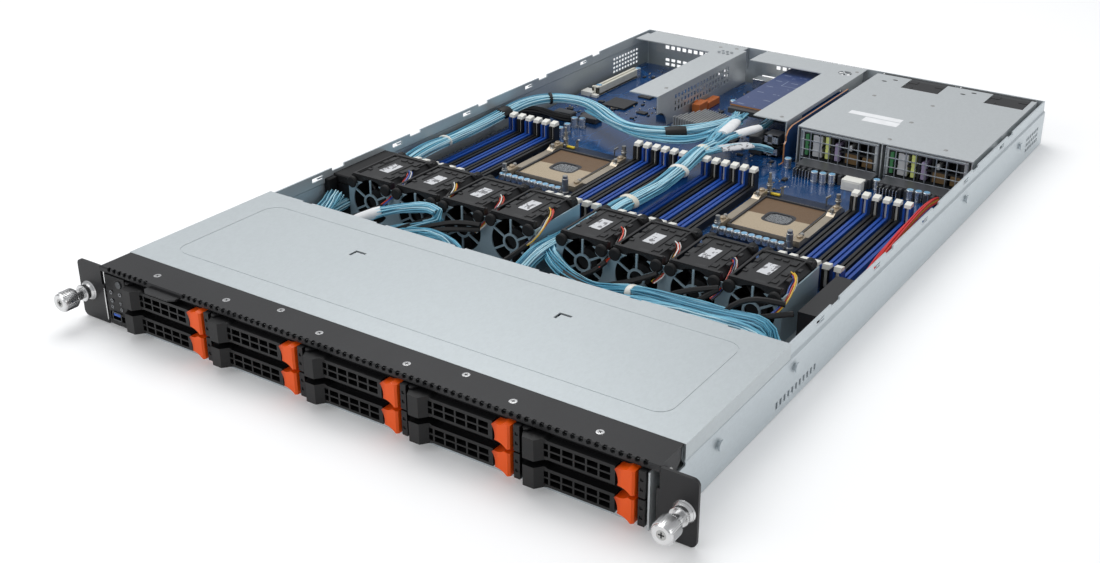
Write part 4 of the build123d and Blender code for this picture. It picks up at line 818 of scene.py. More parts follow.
loom_pieces = [
    bundle(left_route, "left_data_loom", strand_blue, 46, 13, 8, 0.55, 0.9, 5.0, seed=3),
    bundle(middle_route, "middle_data_loom", strand_blue, 70, 14.5, 9, 0.55, 0.35, 4.0, seed=11),
    bundle(front_route, "front_data_loom", strand_blue, 34, 12, 8, 0.55, 0.8, 4.5, seed=23),
    bundle(power_route, "power_loom", power_colours, 7, 5.5, 4.5, 0.95, 1.2, 1.4, seed=5),
]
bundle(second_route, "left_loom_lower_run", strand_blue, 28, 10, 6, 0.55, 0.8, 4.5, seed=41)
bundle(low_front_route, "front_lower_run", strand_blue, 26, 11, 6, 0.55, 0.8, 4.0, seed=43)
for number, route in enumerate(branch_routes, 1):
    bundle(route, f"branch_{number}", strand_blue, 16, 7, 5, 0.55, 0.8, 3.0, seed=50 + number)
for loom in loom_pieces:
    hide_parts("cable_looms")
print("looms", len(loom_pieces))

# %% [markdown]
# ## What holds and marks the cables
# White nylon ties and clips hold the bundles, black sleeves cover parts of them, and white paper
# flags wrap them near their ends. Each is a short flattened tube across the bundle, so its place
# and direction come from the route.

# %% Bands, sleeves and flags
def band(points, share, name, material, wide, thick, length):
    """A flattened tube round a bundle, at a share of its route; sizes in millimetres."""
    middle, ahead = along(points, share)
    side = ahead.cross(Vector((0, 0, 1))).normalized()
    up = side.cross(ahead)
    mesh = bpy.data.meshes.new(name)
    rows, sides = 5, 20
    spots = []
    for row in range(rows):
        tight = 1.0 if 0 < row < rows - 1 else 0.86
        for s in range(sides):
            turn = math.tau * s / sides
            onward = ahead * ((row / (rows - 1) - 0.5) * length * MM)
            across = side * (math.cos(turn) * wide / 2 * tight * MM)
            spots.append(middle + onward + across + up * (math.sin(turn) * thick / 2 * tight * MM))
    faces = []
    for row in range(rows - 1):
        here, there = row * sides, (row + 1) * sides
        for s in range(sides):
            t = (s + 1) % sides
            faces.append((here + s, here + t, there + t, there + s))
    faces += [tuple(range(sides))[::-1], tuple((rows - 1) * sides + s for s in range(sides))]
    mesh.from_pydata(spots, [], faces)
    mesh.materials.append(material)
    work = bmesh.new()
    work.from_mesh(mesh)
    bmesh.ops.recalc_face_normals(work, faces=work.faces)
    work.to_mesh(mesh)
    work.free()
    return keep(mesh, name, "chassis")


for route, share, wide, thick, length, label, material in (
    (left_route, 0.33, 15.0, 10.5, 2.2, "left_loom_tie_1", white_nylon),
    (left_route, 0.485, 15.5, 11.0, 12.0, "left_loom_sleeve_1", sleeve_black),
    (left_route, 0.585, 15.5, 11.0, 3.2, "left_loom_tie_2", sleeve_black),
    (left_route, 0.872, 14.0, 10.0, 19.0, "left_loom_sleeve_2", sleeve_black),
    (branch_routes[0], 0.52, 11.0, 7.0, 42.0, "branch_flag_1", label_paper),
    (branch_routes[1], 0.54, 9.5, 6.6, 34.0, "branch_flag_2", label_paper),
    (branch_routes[3], 0.44, 15.0, 4.6, 36.0, "branch_flag_3", fan_paper.material),
    (middle_route, 0.045, 14.5, 10.0, 7.0, "middle_loom_clip_1", ivory_nylon),
    (middle_route, 0.185, 18.5, 11.5, 5.0, "middle_loom_clip_2", white_nylon),
    (middle_route, 0.425, 18.5, 11.5, 6.0, "middle_loom_clip_3", ivory_nylon),
    (front_route, 0.235, 11.0, 8.0, 24.0, "front_loom_sleeve", sleeve_black),
    (front_route, 0.44, 13.0, 9.5, 5.0, "front_loom_tape", white_nylon),
):
    band(route, share, label, material, wide, thick, length)
print("ties, sleeves and flags ready")

# %% [markdown]
# ## Air dam and loops of cable in the trench
# The left air dam is a black moulding that keeps the air from flowing back round the fans. The
# CAD node holds its lower half, so two blocks add the rest. In the trench between the drive bay
# and the fans lie a folded loop of blue wires with white flags, and the fans' black sleeves, which
# run forward out of the coloured leads. They are held, not free, so they are bundles too.

# %% Upper half of the left air dam
dam_top = Shape().block((-217.0, -140.0, 30.2), (-199.6, -76.0, 37.5), 0.8)
dam_top.block((-217.2, -150.0, 14.0), (-212.0, -140.4, 36.0), 0.6)
dam_top.piece("left_dam_top", rubber_black)
print("air dam ready")

# %% Trench cables
loop_route = [(-.186, -.196, .010), (-.172, -.180, .016), (-.156, -.164, .025), (-.138, -.154, .030),
              (-.120, -.151, .0345), (-.109, -.150, .0362), (-.1015, -.150, .0352),
              (-.0990, -.151, .0310), (-.103, -.153, .0262), (-.118, -.157, .021), (-.136, -.163, .015),
              (-.156, -.176, .010), (-.176, -.194, .008)]
bundle(loop_route, "trench_loop", strand_blue, 34, 10, 7, 0.55, 0.8, 3.5, seed=31)
band(loop_route, 0.21, "trench_loop_flag", label_paper, 11, 8.5, 24)
band(loop_route, 0.83, "trench_loop_flag_2", label_paper, 11, 8.5, 12)
low_route = [(-.150, -.180, .010), (-.128, -.176, .020), (-.108, -.174, .026), (-.088, -.174, .029),
             (-.072, -.176, .028), (-.060, -.180, .022), (-.050, -.190, .013), (-.044, -.202, .008)]
bundle(low_route, "trench_crossing", strand_blue, 26, 11, 5, 0.55, 0.8, 4.0, seed=37)
side_route = [(-.208, -.147, .024), (-.205, -.158, .021), (-.203, -.172, .016), (-.204, -.190, .010)]
black_route = [(-.213, -.010, .024), (-.212, .030, .026), (-.210, .070, .028), (-.204, .104, .027),
               (-.190, .118, .023), (-.176, .122, .018), (-.166, .134, .014)]
bundle(black_route, "left_black_leads", sleeve_black, 5, 7, 5, 1.5, 0.8, 2.0, seed=61)
bundle(side_route, "trench_side_run", strand_blue, 30, 14, 8, 0.55, 0.8, 4.0, seed=39)
print("trench loops ready")

# %% Fan leads and their sleeves, in millimetres
fan_pitch, bank_starts = 45.5, (-176, 24.25)
fan_places = [start + fan_pitch * step for start in bank_starts for step in range(4)]
for fan, x in enumerate(fan_places, 1):
    lead = in_metres([(x + 14.5, -110, 41.0), (x + 18.5, -114, 42.0), (x + 22.2, -121, 41.2),
                      (x + 23.2, -129, 38.4), (x + 23.2, -136, 34), (x + 22.2, -144, 30),
                      (x + 18, -149, 26)])
    bundle(lead, f"fan_leads_{fan}", lead_colours, 6, 4.0, 3.0, 0.5, 2.5, 2.4, seed=fan * 3)
sleeve_routes = [
    [(-157, -149, 26), (-166, -156, 22), (-178, -170, 16), (-188, -190, 10)],
    [(-108, -149, 28), (-122, -160, 22), (-140, -176, 14), (-150, -196, 8)],
    [(-62, -149, 33), (-78, -152, 33), (-100, -158, 27), (-122, -166, 18), (-136, -182, 11),
     (-150, -200, 8)],
    [(-63, -149, 29), (-84, -158, 28), (-108, -164, 21), (-128, -168, 17), (-146, -184, 10)],
    [(-20, -149, 27), (-26, -160, 20), (-38, -176, 12), (-52, -198, 8)],
    [(47, -146, 30), (40, -150, 22), (24, -154, 14), (10, -170, 10), (0, -198, 8)],
    [(90, -147, 33), (78, -150, 26), (58, -156, 19), (38, -162, 14), (26, -196, 8)],
    [(139, -149, 36), (124, -154, 33), (107, -160, 27), (98, -166, 19), (94, -182, 11), (90, -200, 8)],
    [(139, -149, 35), (130, -157, 29), (120, -166, 19), (112, -184, 11), (108, -200, 8)],
    [(190, -152, 39), (178, -156, 41), (164, -160, 39), (153, -165, 31), (148, -174, 18), (146, -196, 8)],
    [(196, -152, 34), (180, -158, 30), (160, -164, 24), (147, -174, 16), (142, -196, 8)],
]
for number, sleeve in enumerate(sleeve_routes, 1):
    bundle(in_metres(sleeve), f"fan_lead_sleeve_{number}", sleeve_black, 1, 0.1, 0.1, 2.0, 0, 0,
           seed=number)
print("fan leads", len(fan_places), "sleeves", len(sleeve_routes))

# %% [markdown]
# ## Fans
# A fan housing shows a white label on its roof, with faint grey marks in place of print, low
# moulded ribs and pits, and round rubber mounts in front and behind. The forms are the same on all
# eight fans, so each is made once and repeated.

# %% Fan roof ribs, labels and mounts
fan_middle, fan_roof = -112.5, 41.5
fan_roofs = [(x, fan_middle, fan_roof) for x in fan_places]
ribs = Shape()
for low, high in (((-19.6, -26.5, 0), (-17.6, 24, 0.9)), ((14.6, -26.5, 0), (16.0, -8, 0.9)),
                  ((14.6, 2, 0), (16.0, 24, 0.9)), ((-19.6, -27.5, 0), (19.6, -24.6, 1.0)),
                  ((-19.6, 22.6, 0), (19.6, 25.2, 1.0)), ((7.4, -22, 0), (8.2, 22, 0.6)),
                  ((-11.8, -6, 0), (-11, 22, 0.6)), ((8.2, -20, 0), (12.8, -14, 0.7)),
                  ((8.2, 12, 0), (12.8, 19, 0.9)), ((-15.8, 4, 0), (-12.4, 10, 0.7)),
                  ((-15.8, -14, 0), (-12.4, -11, 0.7)), ((9.4, -6, 0), (14, -1, 0.8)),
                  ((-6, 15.4, 0), (-1, 19, 0.8)), ((1, 15.4, 0), (5, 19, 0.8)),
                  ((17, -14, 0), (19.8, -8, 1.4)), ((17, 4, 0), (19.8, 9, 1.4))):
    ribs.block(low, high, 0.2)
repeat(ribs, fan_roofs, "fan_roof_ribs", fan_black)
# The pits are thin near-black plates on the roof: painted shade in the pits.
pits = Shape()
for low, high in (((9, -4.6, 0), (13.4, 10, 0.06)), ((-16.6, -8, 0), (-13, 1, 0.06)),
                  ((-16.4, 12, 0), (-10, 20, 0.06)), ((-2, -23.6, 0), (6, -20.6, 0.06)),
                  ((7.4, 20, 0), (13, 22, 0.06))):
    pits.block(low, high)
repeat(pits, fan_roofs, "fan_roof_pits", painted_shade_black)
label = Shape().plate([(-4.8, -9), (4.8, -9), (4.8, 9), (-4.8, 9)], 0, 0.12)
repeat(label, [((x - 1.6, -114, 41.62), (0, 0, -3)) for x in fan_places], "fan_labels", fan_paper.material)
mount = Shape().turned([(0, -3.6), (3.9, -3.5), (4.7, -2.8), (4.8, -0.8), (3.2, 0.3), (0, 0.3)], axis="Y",
                       sides=18)
repeat(mount, [(x + side * 17, -141.6, 36.4) for x in fan_places for side in (-1, 1)], "fan_rubber_mounts",
       rubber_black)
rear_mount = Shape().turned([(0, -5), (3.8, -4.8), (4.4, -4), (4.4, 4), (3.8, 4.8), (0, 5)], axis="Y",
                            sides=16)
repeat(rear_mount, [(x + side * 16.5, -86, 38.2) for x in fan_places for side in (-1, 1)],
       "fan_rear_mounts", rubber_black)
print("fan details ready")

# %% [markdown]
# ## Thumbscrews
# Each ear holds a captive screw with a bright turned knob: fine knurling, a dished face with a
# cross recess, and a collar behind. The knob is a turned form, and its knurling is one small ridge
# repeated round it.

# %% Knurled thumbscrews
screw_x, screw_z, knurl_radius, ridges = 233.0, 21.0, 6.4, 40
for side, name in ((-1, "left"), (1, "right")):
    x, body = side * screw_x, f"screw_{name}"
    middle = (x, 0, screw_z)
    knob = Shape().turned([(0, -388.4), (2.2, -388.5), (3.4, -388.9), (5.4, -389.0), (6.2, -388.4),
                           (6.5, -387.4), (6.5, -378.4), (6.0, -377.2), (4.6, -376.6), (3.9, -376.4),
                           (3.9, -370.9), (2.2, -370.8), (2.2, -362.9), (2.5, -362.7), (2.5, -353.6),
                           (2.0, -353.0), (0, -353.0)], middle, "Y", 40)
    knob = knob.piece(f"thumbscrew_knob_{name}", bright_steel, body, "machined_steel")
    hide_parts(f"thumbscrew_{name}")
    ridge = Shape().plate([(-0.34, 0), (0, 0.6), (0.34, 0)], -4.6, 4.6, "Y")
    spots = []
    for turn in (math.tau * step / ridges for step in range(ridges)):
        place = (x + knurl_radius * math.cos(turn), -382.9, screw_z + knurl_radius * math.sin(turn))
        spots.append((place, (0, 90 - math.degrees(turn), 0)))
    repeat(ridge, spots, f"thumbscrew_knurl_{name}", bright_steel, body, "machined_steel")
    disc = Shape().turned([(0, -388.75), (3.1, -388.78), (3.3, -388.6), (3.3, -388.4), (0, -388.4)],
                          middle, "Y", 28)
    disc.piece(f"thumbscrew_disc_{name}", steel_grey, body, "machined_steel")
    # The cross recess is two thin black bars on the knob's face: painted shade in the recess.
    recess = Shape().block((x - 1.8, -388.95, 20.65), (x + 1.8, -388.7, 21.35))
    recess.block((x - 0.35, -388.95, 19.2), (x + 0.35, -388.7, 22.8))
    recess.piece(f"thumbscrew_recess_{name}", rubber_black, body)
    collar = Shape().turned([(4.1, -371.2), (5.7, -371.1), (6.0, -370.6), (5.4, -369.2), (5.3, -367.4),
                             (6.7, -366.0), (7.2, -365.1), (4.1, -365.05)], middle, "Y", 32)
    collar.piece(f"thumbscrew_collar_{name}", bright_steel, "chassis", "machined_steel")
print("thumbscrews ready")

# %% [markdown]
# ## Screws
# Small countersunk screws hold the bezel strip, flush with its top. A shallow disc and a cross for
# its recess are repeated over the same eight places, and each cross is turned by its own angle, as
# real screws stop where they are tight.

# %% Bezel screws
screw = Shape().turned([(2.7, 0), (2.7, 0.03), (2.1, 0.06), (0, 0.06)], sides=16)
bezel_spots = [(-174, -354), (-110, -354), (-71, -345), (-30, -354), (39, -354), (76, -345), (116, -354),
               (174, -354)]
repeat(screw, [(x, y, 43.46) for x, y in bezel_spots], "bezel_screws", bright_steel)
# Each recess is a thin black cross on the screw head: painted shade in the recess.
cross = Shape().block((-1.3, -0.3, 0), (1.3, 0.3, 0.03)).block((-0.3, -1.3, 0), (0.3, 1.3, 0.03))
repeat(cross, [((x, y, 43.50), (0, 0, x * 7)) for x, y in bezel_spots], "bezel_screw_recesses",
       rubber_black)
print("screws ready")

# %% [markdown]
# ## Control panel
# The narrow black panel beside the trays and its power button are CAD nodes. What is added here
# are the symbols printed on it, a bright strip at its edge and a data port with a blue tongue. The
# symbols are generic rings, squares and a triangle, drawn as thin raised strips.

# %% Panel symbols and port
panel_face = -366.5


def outline_ring(shape, x, z, sides, outer=1.3, inner=1.02):
    """A thin ring with straight sides that lies on the panel's face."""
    for s in range(sides):
        a, b = (math.tau * (s + step) / sides + 0.4 for step in (0, 1))
        corners = ((outer, a), (outer, b), (inner, b), (inner, a))
        quad = [(x + radius * math.cos(turn), z + radius * math.sin(turn)) for radius, turn in corners]
        shape.plate(quad, panel_face - 0.06, panel_face + 0.1, "Y")


symbols = Shape()
for x, z, sides in ((-208.1, 26.9, 12), (-208.1, 20.7, 12), (-208.4, 16.0, 4), (-199.5, 27.0, 12),
                    (-199.5, 20.4, 3), (-199.4, 15.9, 4)):
    outline_ring(symbols, x, z, sides)
symbols.piece("panel_symbols", icon_grey)
Shape().block((-214.9, -366.9, 4.6), (-214.0, -366.2, 28.4), 0.15).piece("panel_edge_strip", bright_steel)
port = Shape()
for low, high in (((-209.6, 6.0), (-200.6, 6.8)), ((-209.6, 11.6), (-200.6, 12.4)),
                  ((-209.6, 6.0), (-208.9, 12.4)), ((-201.3, 6.0), (-200.6, 12.4))):
    port.block((low[0], panel_face - 0.25, low[1]), (high[0], panel_face + 0.2, high[1]), 0.1)
port.piece("panel_port_shell", dark_metal, "chassis", "board_metal")
tongue = Shape().block((-208.2, panel_face, 9.4), (-202.0, panel_face + 0.3, 11.2))
tongue.piece("panel_port_tongue", blue_tongue)
print("panel ready")

# %% [markdown]
# ## Parts on the board
# The board carries tall and low cans, slot connectors and plugs, at places read from the
# photograph. They are modelled one by one or, where one form comes back, repeated by the tree.

# %% Cans
board_top = 9.0
can = Shape().turned([(0, 0), (3.2, 0), (3.3, 1.6), (2.9, 1.9), (3.3, 2.2), (3.3, 9.2), (2.9, 9.6),
                      (0, 9.6)], sides=18)
cans = [(54, 146), (87, 129), (94.5, 130), (102, 132), (139, 142), (171, 136), (178, 137), (185, 138),
        (-161, 129), (-154, 132), (-157, 111), (-157, 99), (-196, 228), (-193, 300), (-60, 262),
        (-54, 270)]
repeat(can, [(x, y, board_top) for x, y in cans], "tall_cans", can_silver)
cap_top = Shape().turned([(0, 0), (2.7, 0), (2.7, 0.12), (0, 0.12)], sides=16)
repeat(cap_top, [(x, y, board_top + 9.6) for x, y in cans], "tall_can_tops", can_blue)
low_can = Shape().turned([(0, 0), (3.0, 0), (3.1, 4.6), (2.7, 5.2), (0, 5.2)], sides=14)
low_spots = [(x + step * 6.3 - 31.5, y - 49.5, board_top + 1.8)
             for x, y in socket_centres for step in range(10)]
repeat(low_can, low_spots, "low_cans", can_silver)
low_cap_top = Shape().turned([(0, 0), (2.4, 0), (2.4, 0.12), (0, 0.12)], sides=12)
repeat(low_cap_top, [(x, y, z + 5.2) for x, y, z in low_spots], "low_can_tops", can_blue)
print("cans", len(cans), "low cans", len(low_spots))

# %% Connectors
supply_strip = Shape()
strip_places = (99.5, 176.5)
for x in strip_places:
    supply_strip.block((x - 35, 139, 9), (x + 35, 156, 18), 0.4)
    for step in range(12):
        supply_strip.block((x - 33 + step * 5.7, 134, 9), (x - 30 + step * 5.7, 139.2, 17.2), 0.3)
supply_strip.piece("supply_connectors", connector_grey)
pin = Shape().block((-0.35, -1.6, 0), (0.35, 1.6, 7.6), 0.1)
repeat(pin, [(x - 33 + step * 2.9, 131.5, board_top) for x in strip_places for step in range(7)],
       "supply_connector_pins", bright_steel)
for name, x, y, run, material in (
    ("left_riser_slot", -196, 262, 84, ivory_nylon),
    ("middle_riser_slot", 44.4, 225, 60, chip_black),
):
    near, far = y - run / 2, y + run / 2
    slot = Shape()
    for low, high, edge in (((x - 3.7, near, 9), (x - 0.9, far, 18), 0.3),
                            ((x + 0.9, near, 9), (x + 3.7, far, 18), 0.3),
                            ((x - 3.7, near, 9), (x + 3.7, far, 11), 0.0),
                            ((x - 3.7, near, 9), (x + 3.7, near + 3, 19), 0.3),
                            ((x - 3.7, far - 3, 9), (x + 3.7, far, 18), 0.3)):
        slot.block(low, high, edge)
    slot.piece(name, material)

for name, material, blocks in (
    ("orange_socket", orange_nylon, (((-88, 228, 9), (-80, 246, 19), 0.4),
                                     ((-88, 248, 9), (-80, 272, 16), 0.4),
                                     ((-89, 234, 12), (-87.8, 240, 20), 0.2))),
    ("white_connectors", white_nylon, (
        ((113, 126, 9), (131, 137, 18.5), 0.4), ((115, 125.6, 12), (129, 126.4, 17), 0.2),
        ((-209, 214, 9), (-196, 226, 14), 0.4), ((-198, 214, 9), (-190, 219, 12), 0.3))),
    ("black_connectors", connector_grey, (
        ((-214, 118, 9), (-190, 132, 19), 1.5), ((-192, 138, 9), (-172, 150, 17), 1.0),
        ((-168, 146, 9), (-148, 158, 14), 0.5), ((8, 160, 9), (21, 184, 26), 0.6),
        ((22, 163, 10), (36, 178, 19), 0.4), ((22, 163, 21), (36, 178, 30), 0.4),
        ((-36, 202, 27.5), (22, 213, 32.9), 0.4))),
):
    plugs = Shape()
    for low, high, edge in blocks:
        plugs.block(low, high, edge)
    plugs.piece(name, material)

openings = Shape()
for low in (10, 21):
    for start, end, below, above in ((22.4, 35.6, 0, 1.4), (22.4, 35.6, 7.4, 8.8), (22.4, 25.4, 0, 8.8),
                                     (30, 35.6, 0, 8.8)):
        openings.block((start, 162.2, low + below), (end, 163.2, low + above))
openings.piece("card_connector_faces", can_silver)
print("connectors ready")

# %% [markdown]
# ## Chip cooler
# A cooler over the board's own chip is a slanted plate with straight fins. The fins are cut where
# they meet the plate's slanted edges, so each is one unit fin, stretched to the length it needs.
# Its base stands in for the CAD node of board parts.

# %% Chip cooler fins
cooler_outline = [(-85, 182), (-68, 221), (-34, 214), (-35, 175)]
cooler = Shape().plate(cooler_outline, board_top, 11.5)


def reach_at(x):
    """Where a line of constant X enters and leaves the cooler's outline."""
    hits = []
    for (ax, ay), (bx, by) in zip(cooler_outline, cooler_outline[1:] + cooler_outline[:1]):
        if min(ax, bx) <= x <= max(ax, bx) and ax != bx:
            hits.append(ay + (by - ay) * (x - ax) / (bx - ax))
    return min(hits), max(hits)


fin = Shape().block((-0.45, -0.5, 0), (0.45, 0.5, 8.4), 0.08)
fins = []
for step in range(17):
    x = -83.0 + step * 2.95
    near, far = reach_at(x)
    fins.append(((x, (near + far) / 2, 11.4), (0, 0, 0), (1, far - near, 1)))
repeat(fin, fins, "chip_cooler_fins", cooler_metal)
cooler = cooler.piece("chip_cooler_base", cooler_metal)
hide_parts("board_parts")
print("cooler has", len(fins), "fins")

# %% [markdown]
# ## Rear edge, roofs and side screws
# Port shells stand on the board just inside the rear panel. Contact fingers along the rear edge
# touch the lid when it is on. The roofs of the cages and of the supply bay carry rivets, the bay's
# roof has short slots too, and a screw holds each side flange of the bezel.

# %% Rear ports
ports = ((-74.5, -57.5, bright_steel), (-55, -41, bright_steel), (-40, -10, blue_tongue),
         (-8, 6, bright_steel), (15, 29, bright_steel))
for number, (low_x, high_x, material) in enumerate(ports, 1):
    Shape().block((low_x, 334, board_top), (high_x, 348, 19.6), 0.3).piece(f"port_block_{number}", material)
print("ports", len(ports))

# %% Contact fingers, rivets, roof slots and side screws
fingers = [(start + 2.6 * step, 361.6, 42.5)
           for start, count in ((-206, 43), (-72, 42)) for step in range(count)]
finger = Shape().block((-0.8, -0.7, 0), (0.8, 0.7, 0.45), 0.12)
repeat(finger, fingers, "rear_contact_fingers", bright_steel)
bay_roof, cage_roof = 43.0, 42.5
bay_rivets = [(77, 285), (134, 287), (134, 231), (134, 178), (184, 179)]
cage_rivets = [(-98, 193), (-120, 347), (-103, 351), (30, 180), (34, 347)]
roof_rivets = [(x, y, bay_roof) for x, y in bay_rivets] + [(x, y, cage_roof) for x, y in cage_rivets]
rivet = Shape().turned([(2.0, 0), (1.9, 0.3), (1.2, 0.5), (0, 0.5)], sides=14)
repeat(rivet, roof_rivets, "roof_rivets", steel_grey)
# Each short slot is a thin near-black oval on the roof: painted shade in the hole.
slot_shade = Shape()
turns = [math.tau * step / 14 for step in range(14)]
for x, y in ((68, 334), (76, 343), (146, 338), (154, 347)):
    slot_shade.plate([(x + 2.6 * math.cos(turn), y + 1.5 * math.sin(turn)) for turn in turns], bay_roof, 43.08)
slot_shade.piece("roof_slots", painted_shade_black)
for side, name in ((-1, "left"), (1, "right")):
    outside = [(0, 0), (3.2, 0), (3.0, side * 0.35), (1.5, side * 0.5), (1.2, side * 0.2),
               (0, side * 0.2)]
    side_screw = Shape().turned(outside, (side * 219.55, -357.5, 36.0), "X")
    side_screw.piece(f"bezel_side_screw_{name}", steel_grey, "chassis", "machined_steel")
print("rivets", len(roof_rivets), "fingers", len(fingers))

# %% [markdown]
# ## Tiny chips
# Hundreds of tiny chips lie between the parts of a real board, too many to place by hand. A tree
# scatters them with a fixed seed over rectangles of bare board, never closer than 3.2 mm, each
# turned by nothing or a quarter turn and scaled by its own amount.

# %% Scattered chips
scatter = Tree("scattered_chips", Form="object", Density="size", Small="size", Large="size", Seed="count",
               Material="material")
spots = scatter.add("GeometryNodeDistributePointsOnFaces", {"distribute_method": "POISSON"},
                    {"Mesh": scatter.given("Geometry"), "Distance Min": 0.0032,
                     "Density Max": scatter.given("Density"), "Seed": scatter.given("Seed")})
chip = scatter.add("GeometryNodeObjectInfo", {}, {"Object": scatter.given("Form")}, "Geometry")
quarter = scatter.add("FunctionNodeRandomValue", {"data_type": "INT"},
                      {4: 0, 5: 1, "Seed": scatter.given("Seed")}, 2)
spin = scatter.add("ShaderNodeCombineXYZ", {}, {2: scatter.sum("MULTIPLY", quarter, math.pi / 2)})
size = scatter.add("FunctionNodeRandomValue", {"data_type": "FLOAT"},
                   {2: scatter.given("Small"), 3: scatter.given("Large"), "Seed": scatter.given("Seed")}, 1)
scatter.close(scatter.add("GeometryNodeInstanceOnPoints", {},
                          {"Points": spots, "Instance": chip, "Rotation": spin, "Scale": size}))


def bare_board():
    """The open areas of the board, as flat rectangles just above its face."""
    areas = [(-211, 92, -168, 118), (-205, 160, -150, 213), (-150, 175, -112, 235), (-60, 92, -15, 125),
             (12, 140, 48, 160), (-30, 150, 5, 205), (-122, 236, -92, 330), (-150, -70, -64, -36),
             (54, -68, 142, -34), (-74, 225, -40, 330), (140, 98, 200, 128), (-188, 300, -125, 330),
             (54, 90, 74, 120)]
    mesh = bpy.data.meshes.new("bare_board")
    corners, faces = [], []
    for x0, y0, x1, y1 in areas:
        first = len(corners)
        corners += [(x * MM, y * MM, board_top * MM) for x, y in ((x0, y0), (x1, y0), (x1, y1), (x0, y1))]
        faces.append((first, first + 1, first + 2, first + 3))
    mesh.from_pydata(corners, [], faces)
    return mesh


for colour, (wide, deep, high), edge, material, density, large, seed in (
    ("black", (1.4, 0.9, 0.9), 0.1, chip_black, 5000.0, 2.2, 3),
    ("tan", (0.8, 0.45, 0.8), 0.08, chip_tan, 7000.0, 1.2, 8),
    ("plated", (0.9, 0.5, 0.6), 0.08, can_silver, 6000.0, 1.2, 21),
):
    name = f"scattered_{colour}_chips"
    outline = Shape().block((-wide, -deep, 0), (wide, deep, high), edge)
    unit = bpy.data.objects.new(name + "_unit", outline.to_mesh(material))
    scatter.grow(bare_board(), name, Form=unit, Density=density, Small=0.6, Large=large, Seed=seed,
                 Material=material)
    bpy.data.objects.remove(unit)
print("chips scattered")

# %% Larger chips
big_chips = Shape()
for x, y, wide, long, high in ((-160, 210, 26, 26, 2.2), (-150, 250, 14, 20, 1.6),
                               (-128, 200, 10, 7, 1.4), (-20, 180, 12, 12, 1.6), (30, 110, 9, 12, 1.5),
                               (-100, 150, 14, 9, 1.5), (-142, 300, 18, 12, 2)):
    big_chips.block((x - wide / 2, y - long / 2, board_top),
                    (x + wide / 2, y + long / 2, board_top + high), 0.25)
big_chips.block((-118, 226, board_top), (-100, 240, board_top + 8), 0.5)
big_chips.block((-116, 206, board_top), (-104, 214, board_top + 9), 0.5)
big_chips.piece("larger_chips", chip_black)
print("chips ready")

# %% [markdown]
# ## Socket fittings
# A fine wire mesh covers the opening in the middle of each processor's contact field. Round the
# field stand plated clips and studs on the side strips, tall posts with collars, and at the back
# two bent hooks and a yellow tag. All are repeated over both sockets.

# %% Clips, studs and posts
def over_sockets(dx, dy, z):
    """One place at each processor socket."""
    return [(x + dx, y + dy, z) for x, y in socket_centres]


def round_sockets(dx, dy, z):
    """Four places round each processor socket."""
    return [(x + side * dx, y + end * dy, z)
            for x, y in socket_centres for side in (-1, 1) for end in (-1, 1)]


clip = Shape().block((-3.6, -6.5, 0), (3.6, 6.5, 0.6), 0.2)
clip.turned([(2.5, 0.5), (2.5, 1.9), (1.9, 2.4), (0, 2.4)], (0, 2, 0), sides=14)
clip_bronze = plain("clip_bronze", (0.46, 0.38, 0.28), 0.34, 0.7)
repeat(clip, round_sockets(33.4, 35.2, 15.5), "socket_clips", clip_bronze)
stud = Shape().turned([(1.9, 0), (2.5, 0.1), (2.5, 1.0), (1.7, 1.4), (1.7, 4.2), (1.2, 4.8), (0, 4.8)],
                      sides=12)
repeat(stud, round_sockets(33.4, 29.0, 13.4), "socket_studs", steel_grey)
front_post = [(0, 0), (3.2, 0), (3.2, 1.5), (2.7, 2), (2.7, 13), (2.2, 13.4), (2.2, 15.6), (1.6, 16.2),
              (0, 16.2)]
rear_post = [(0, 0), (2.8, 0), (2.8, 1.5), (2.1, 2), (1.9, 12), (1.3, 12.6), (1.2, 18.4), (0, 18.8)]
for name, dx, dy, profile in (("front", 31, -47, front_post), ("rear", -31, 47, rear_post)):
    tall_post = Shape().turned(profile, sides=14)
    repeat(tall_post, over_sockets(dx, dy, 10.8), f"socket_tall_posts_{name}", steel_grey)
collar = Shape().turned([(2.05, 0), (2.8, 0.1), (2.8, 0.9), (2.4, 1.2), (2.4, 2.4), (2.05, 2.6)], sides=12)
repeat(collar, round_sockets(31, 47, 12) + round_sockets(31, 47, 17.5), "post_collars", steel_grey)
print("clips, studs and posts ready")

# %% Hooks, tags and wire mesh
hook = Shape().plate([(-0.6, 0), (0.6, 0), (0.6, 6.5), (3.6, 8.6), (3.2, 9.8), (-0.6, 7.4)], -1.1, 1.1, "Y")
hooks = [((x + side * 20, y + 49, 10.5), (0, 0, 30 * side)) for x, y in socket_centres for side in (-1, 1)]
repeat(hook, hooks, "socket_hooks", steel_grey)
tag_yellow = plain("tag_yellow", (0.75, 0.55, 0.03), 0.4)
tag = Shape().block((-4, -1.4, 0), (4, 1.4, 1.6), 0.3)
repeat(tag, over_sockets(-24.5, 45.5, 11.0), "socket_tags", tag_yellow)
mesh_floor = Shape().block((-10, -8.6, 0), (10, 8.6, 0.2))
repeat(mesh_floor, over_sockets(0, 0, 9.1), "socket_mesh_floor", dark_metal)
mesh_pitch = 1.5
bar = Shape().block((-0.22, -8.2, 0), (0.22, 8.2, 0.5))
bars = [(x + step * mesh_pitch - 9, y, 11.0) for x, y in socket_centres for step in range(13)]
repeat(bar, bars, "socket_mesh_long", can_silver)
bar = Shape().block((-10, -0.22, 0), (10, 0.22, 0.5))
bars = [(x, y + step * mesh_pitch - 7.5, 11.0) for x, y in socket_centres for step in range(11)]
repeat(bar, bars, "socket_mesh_short", can_silver)
print("socket fittings ready")

# %% [markdown]
# ## Power supplies
# Behind the wire guard at the front of a supply show its own parts: a yellow transformer, green
# and brown coils, grey coolers and a violet wrap. Only what shows is made, as blocks close behind
# the wires. They ride on each supply and slide with it. The bay's roof carries two bare labels.

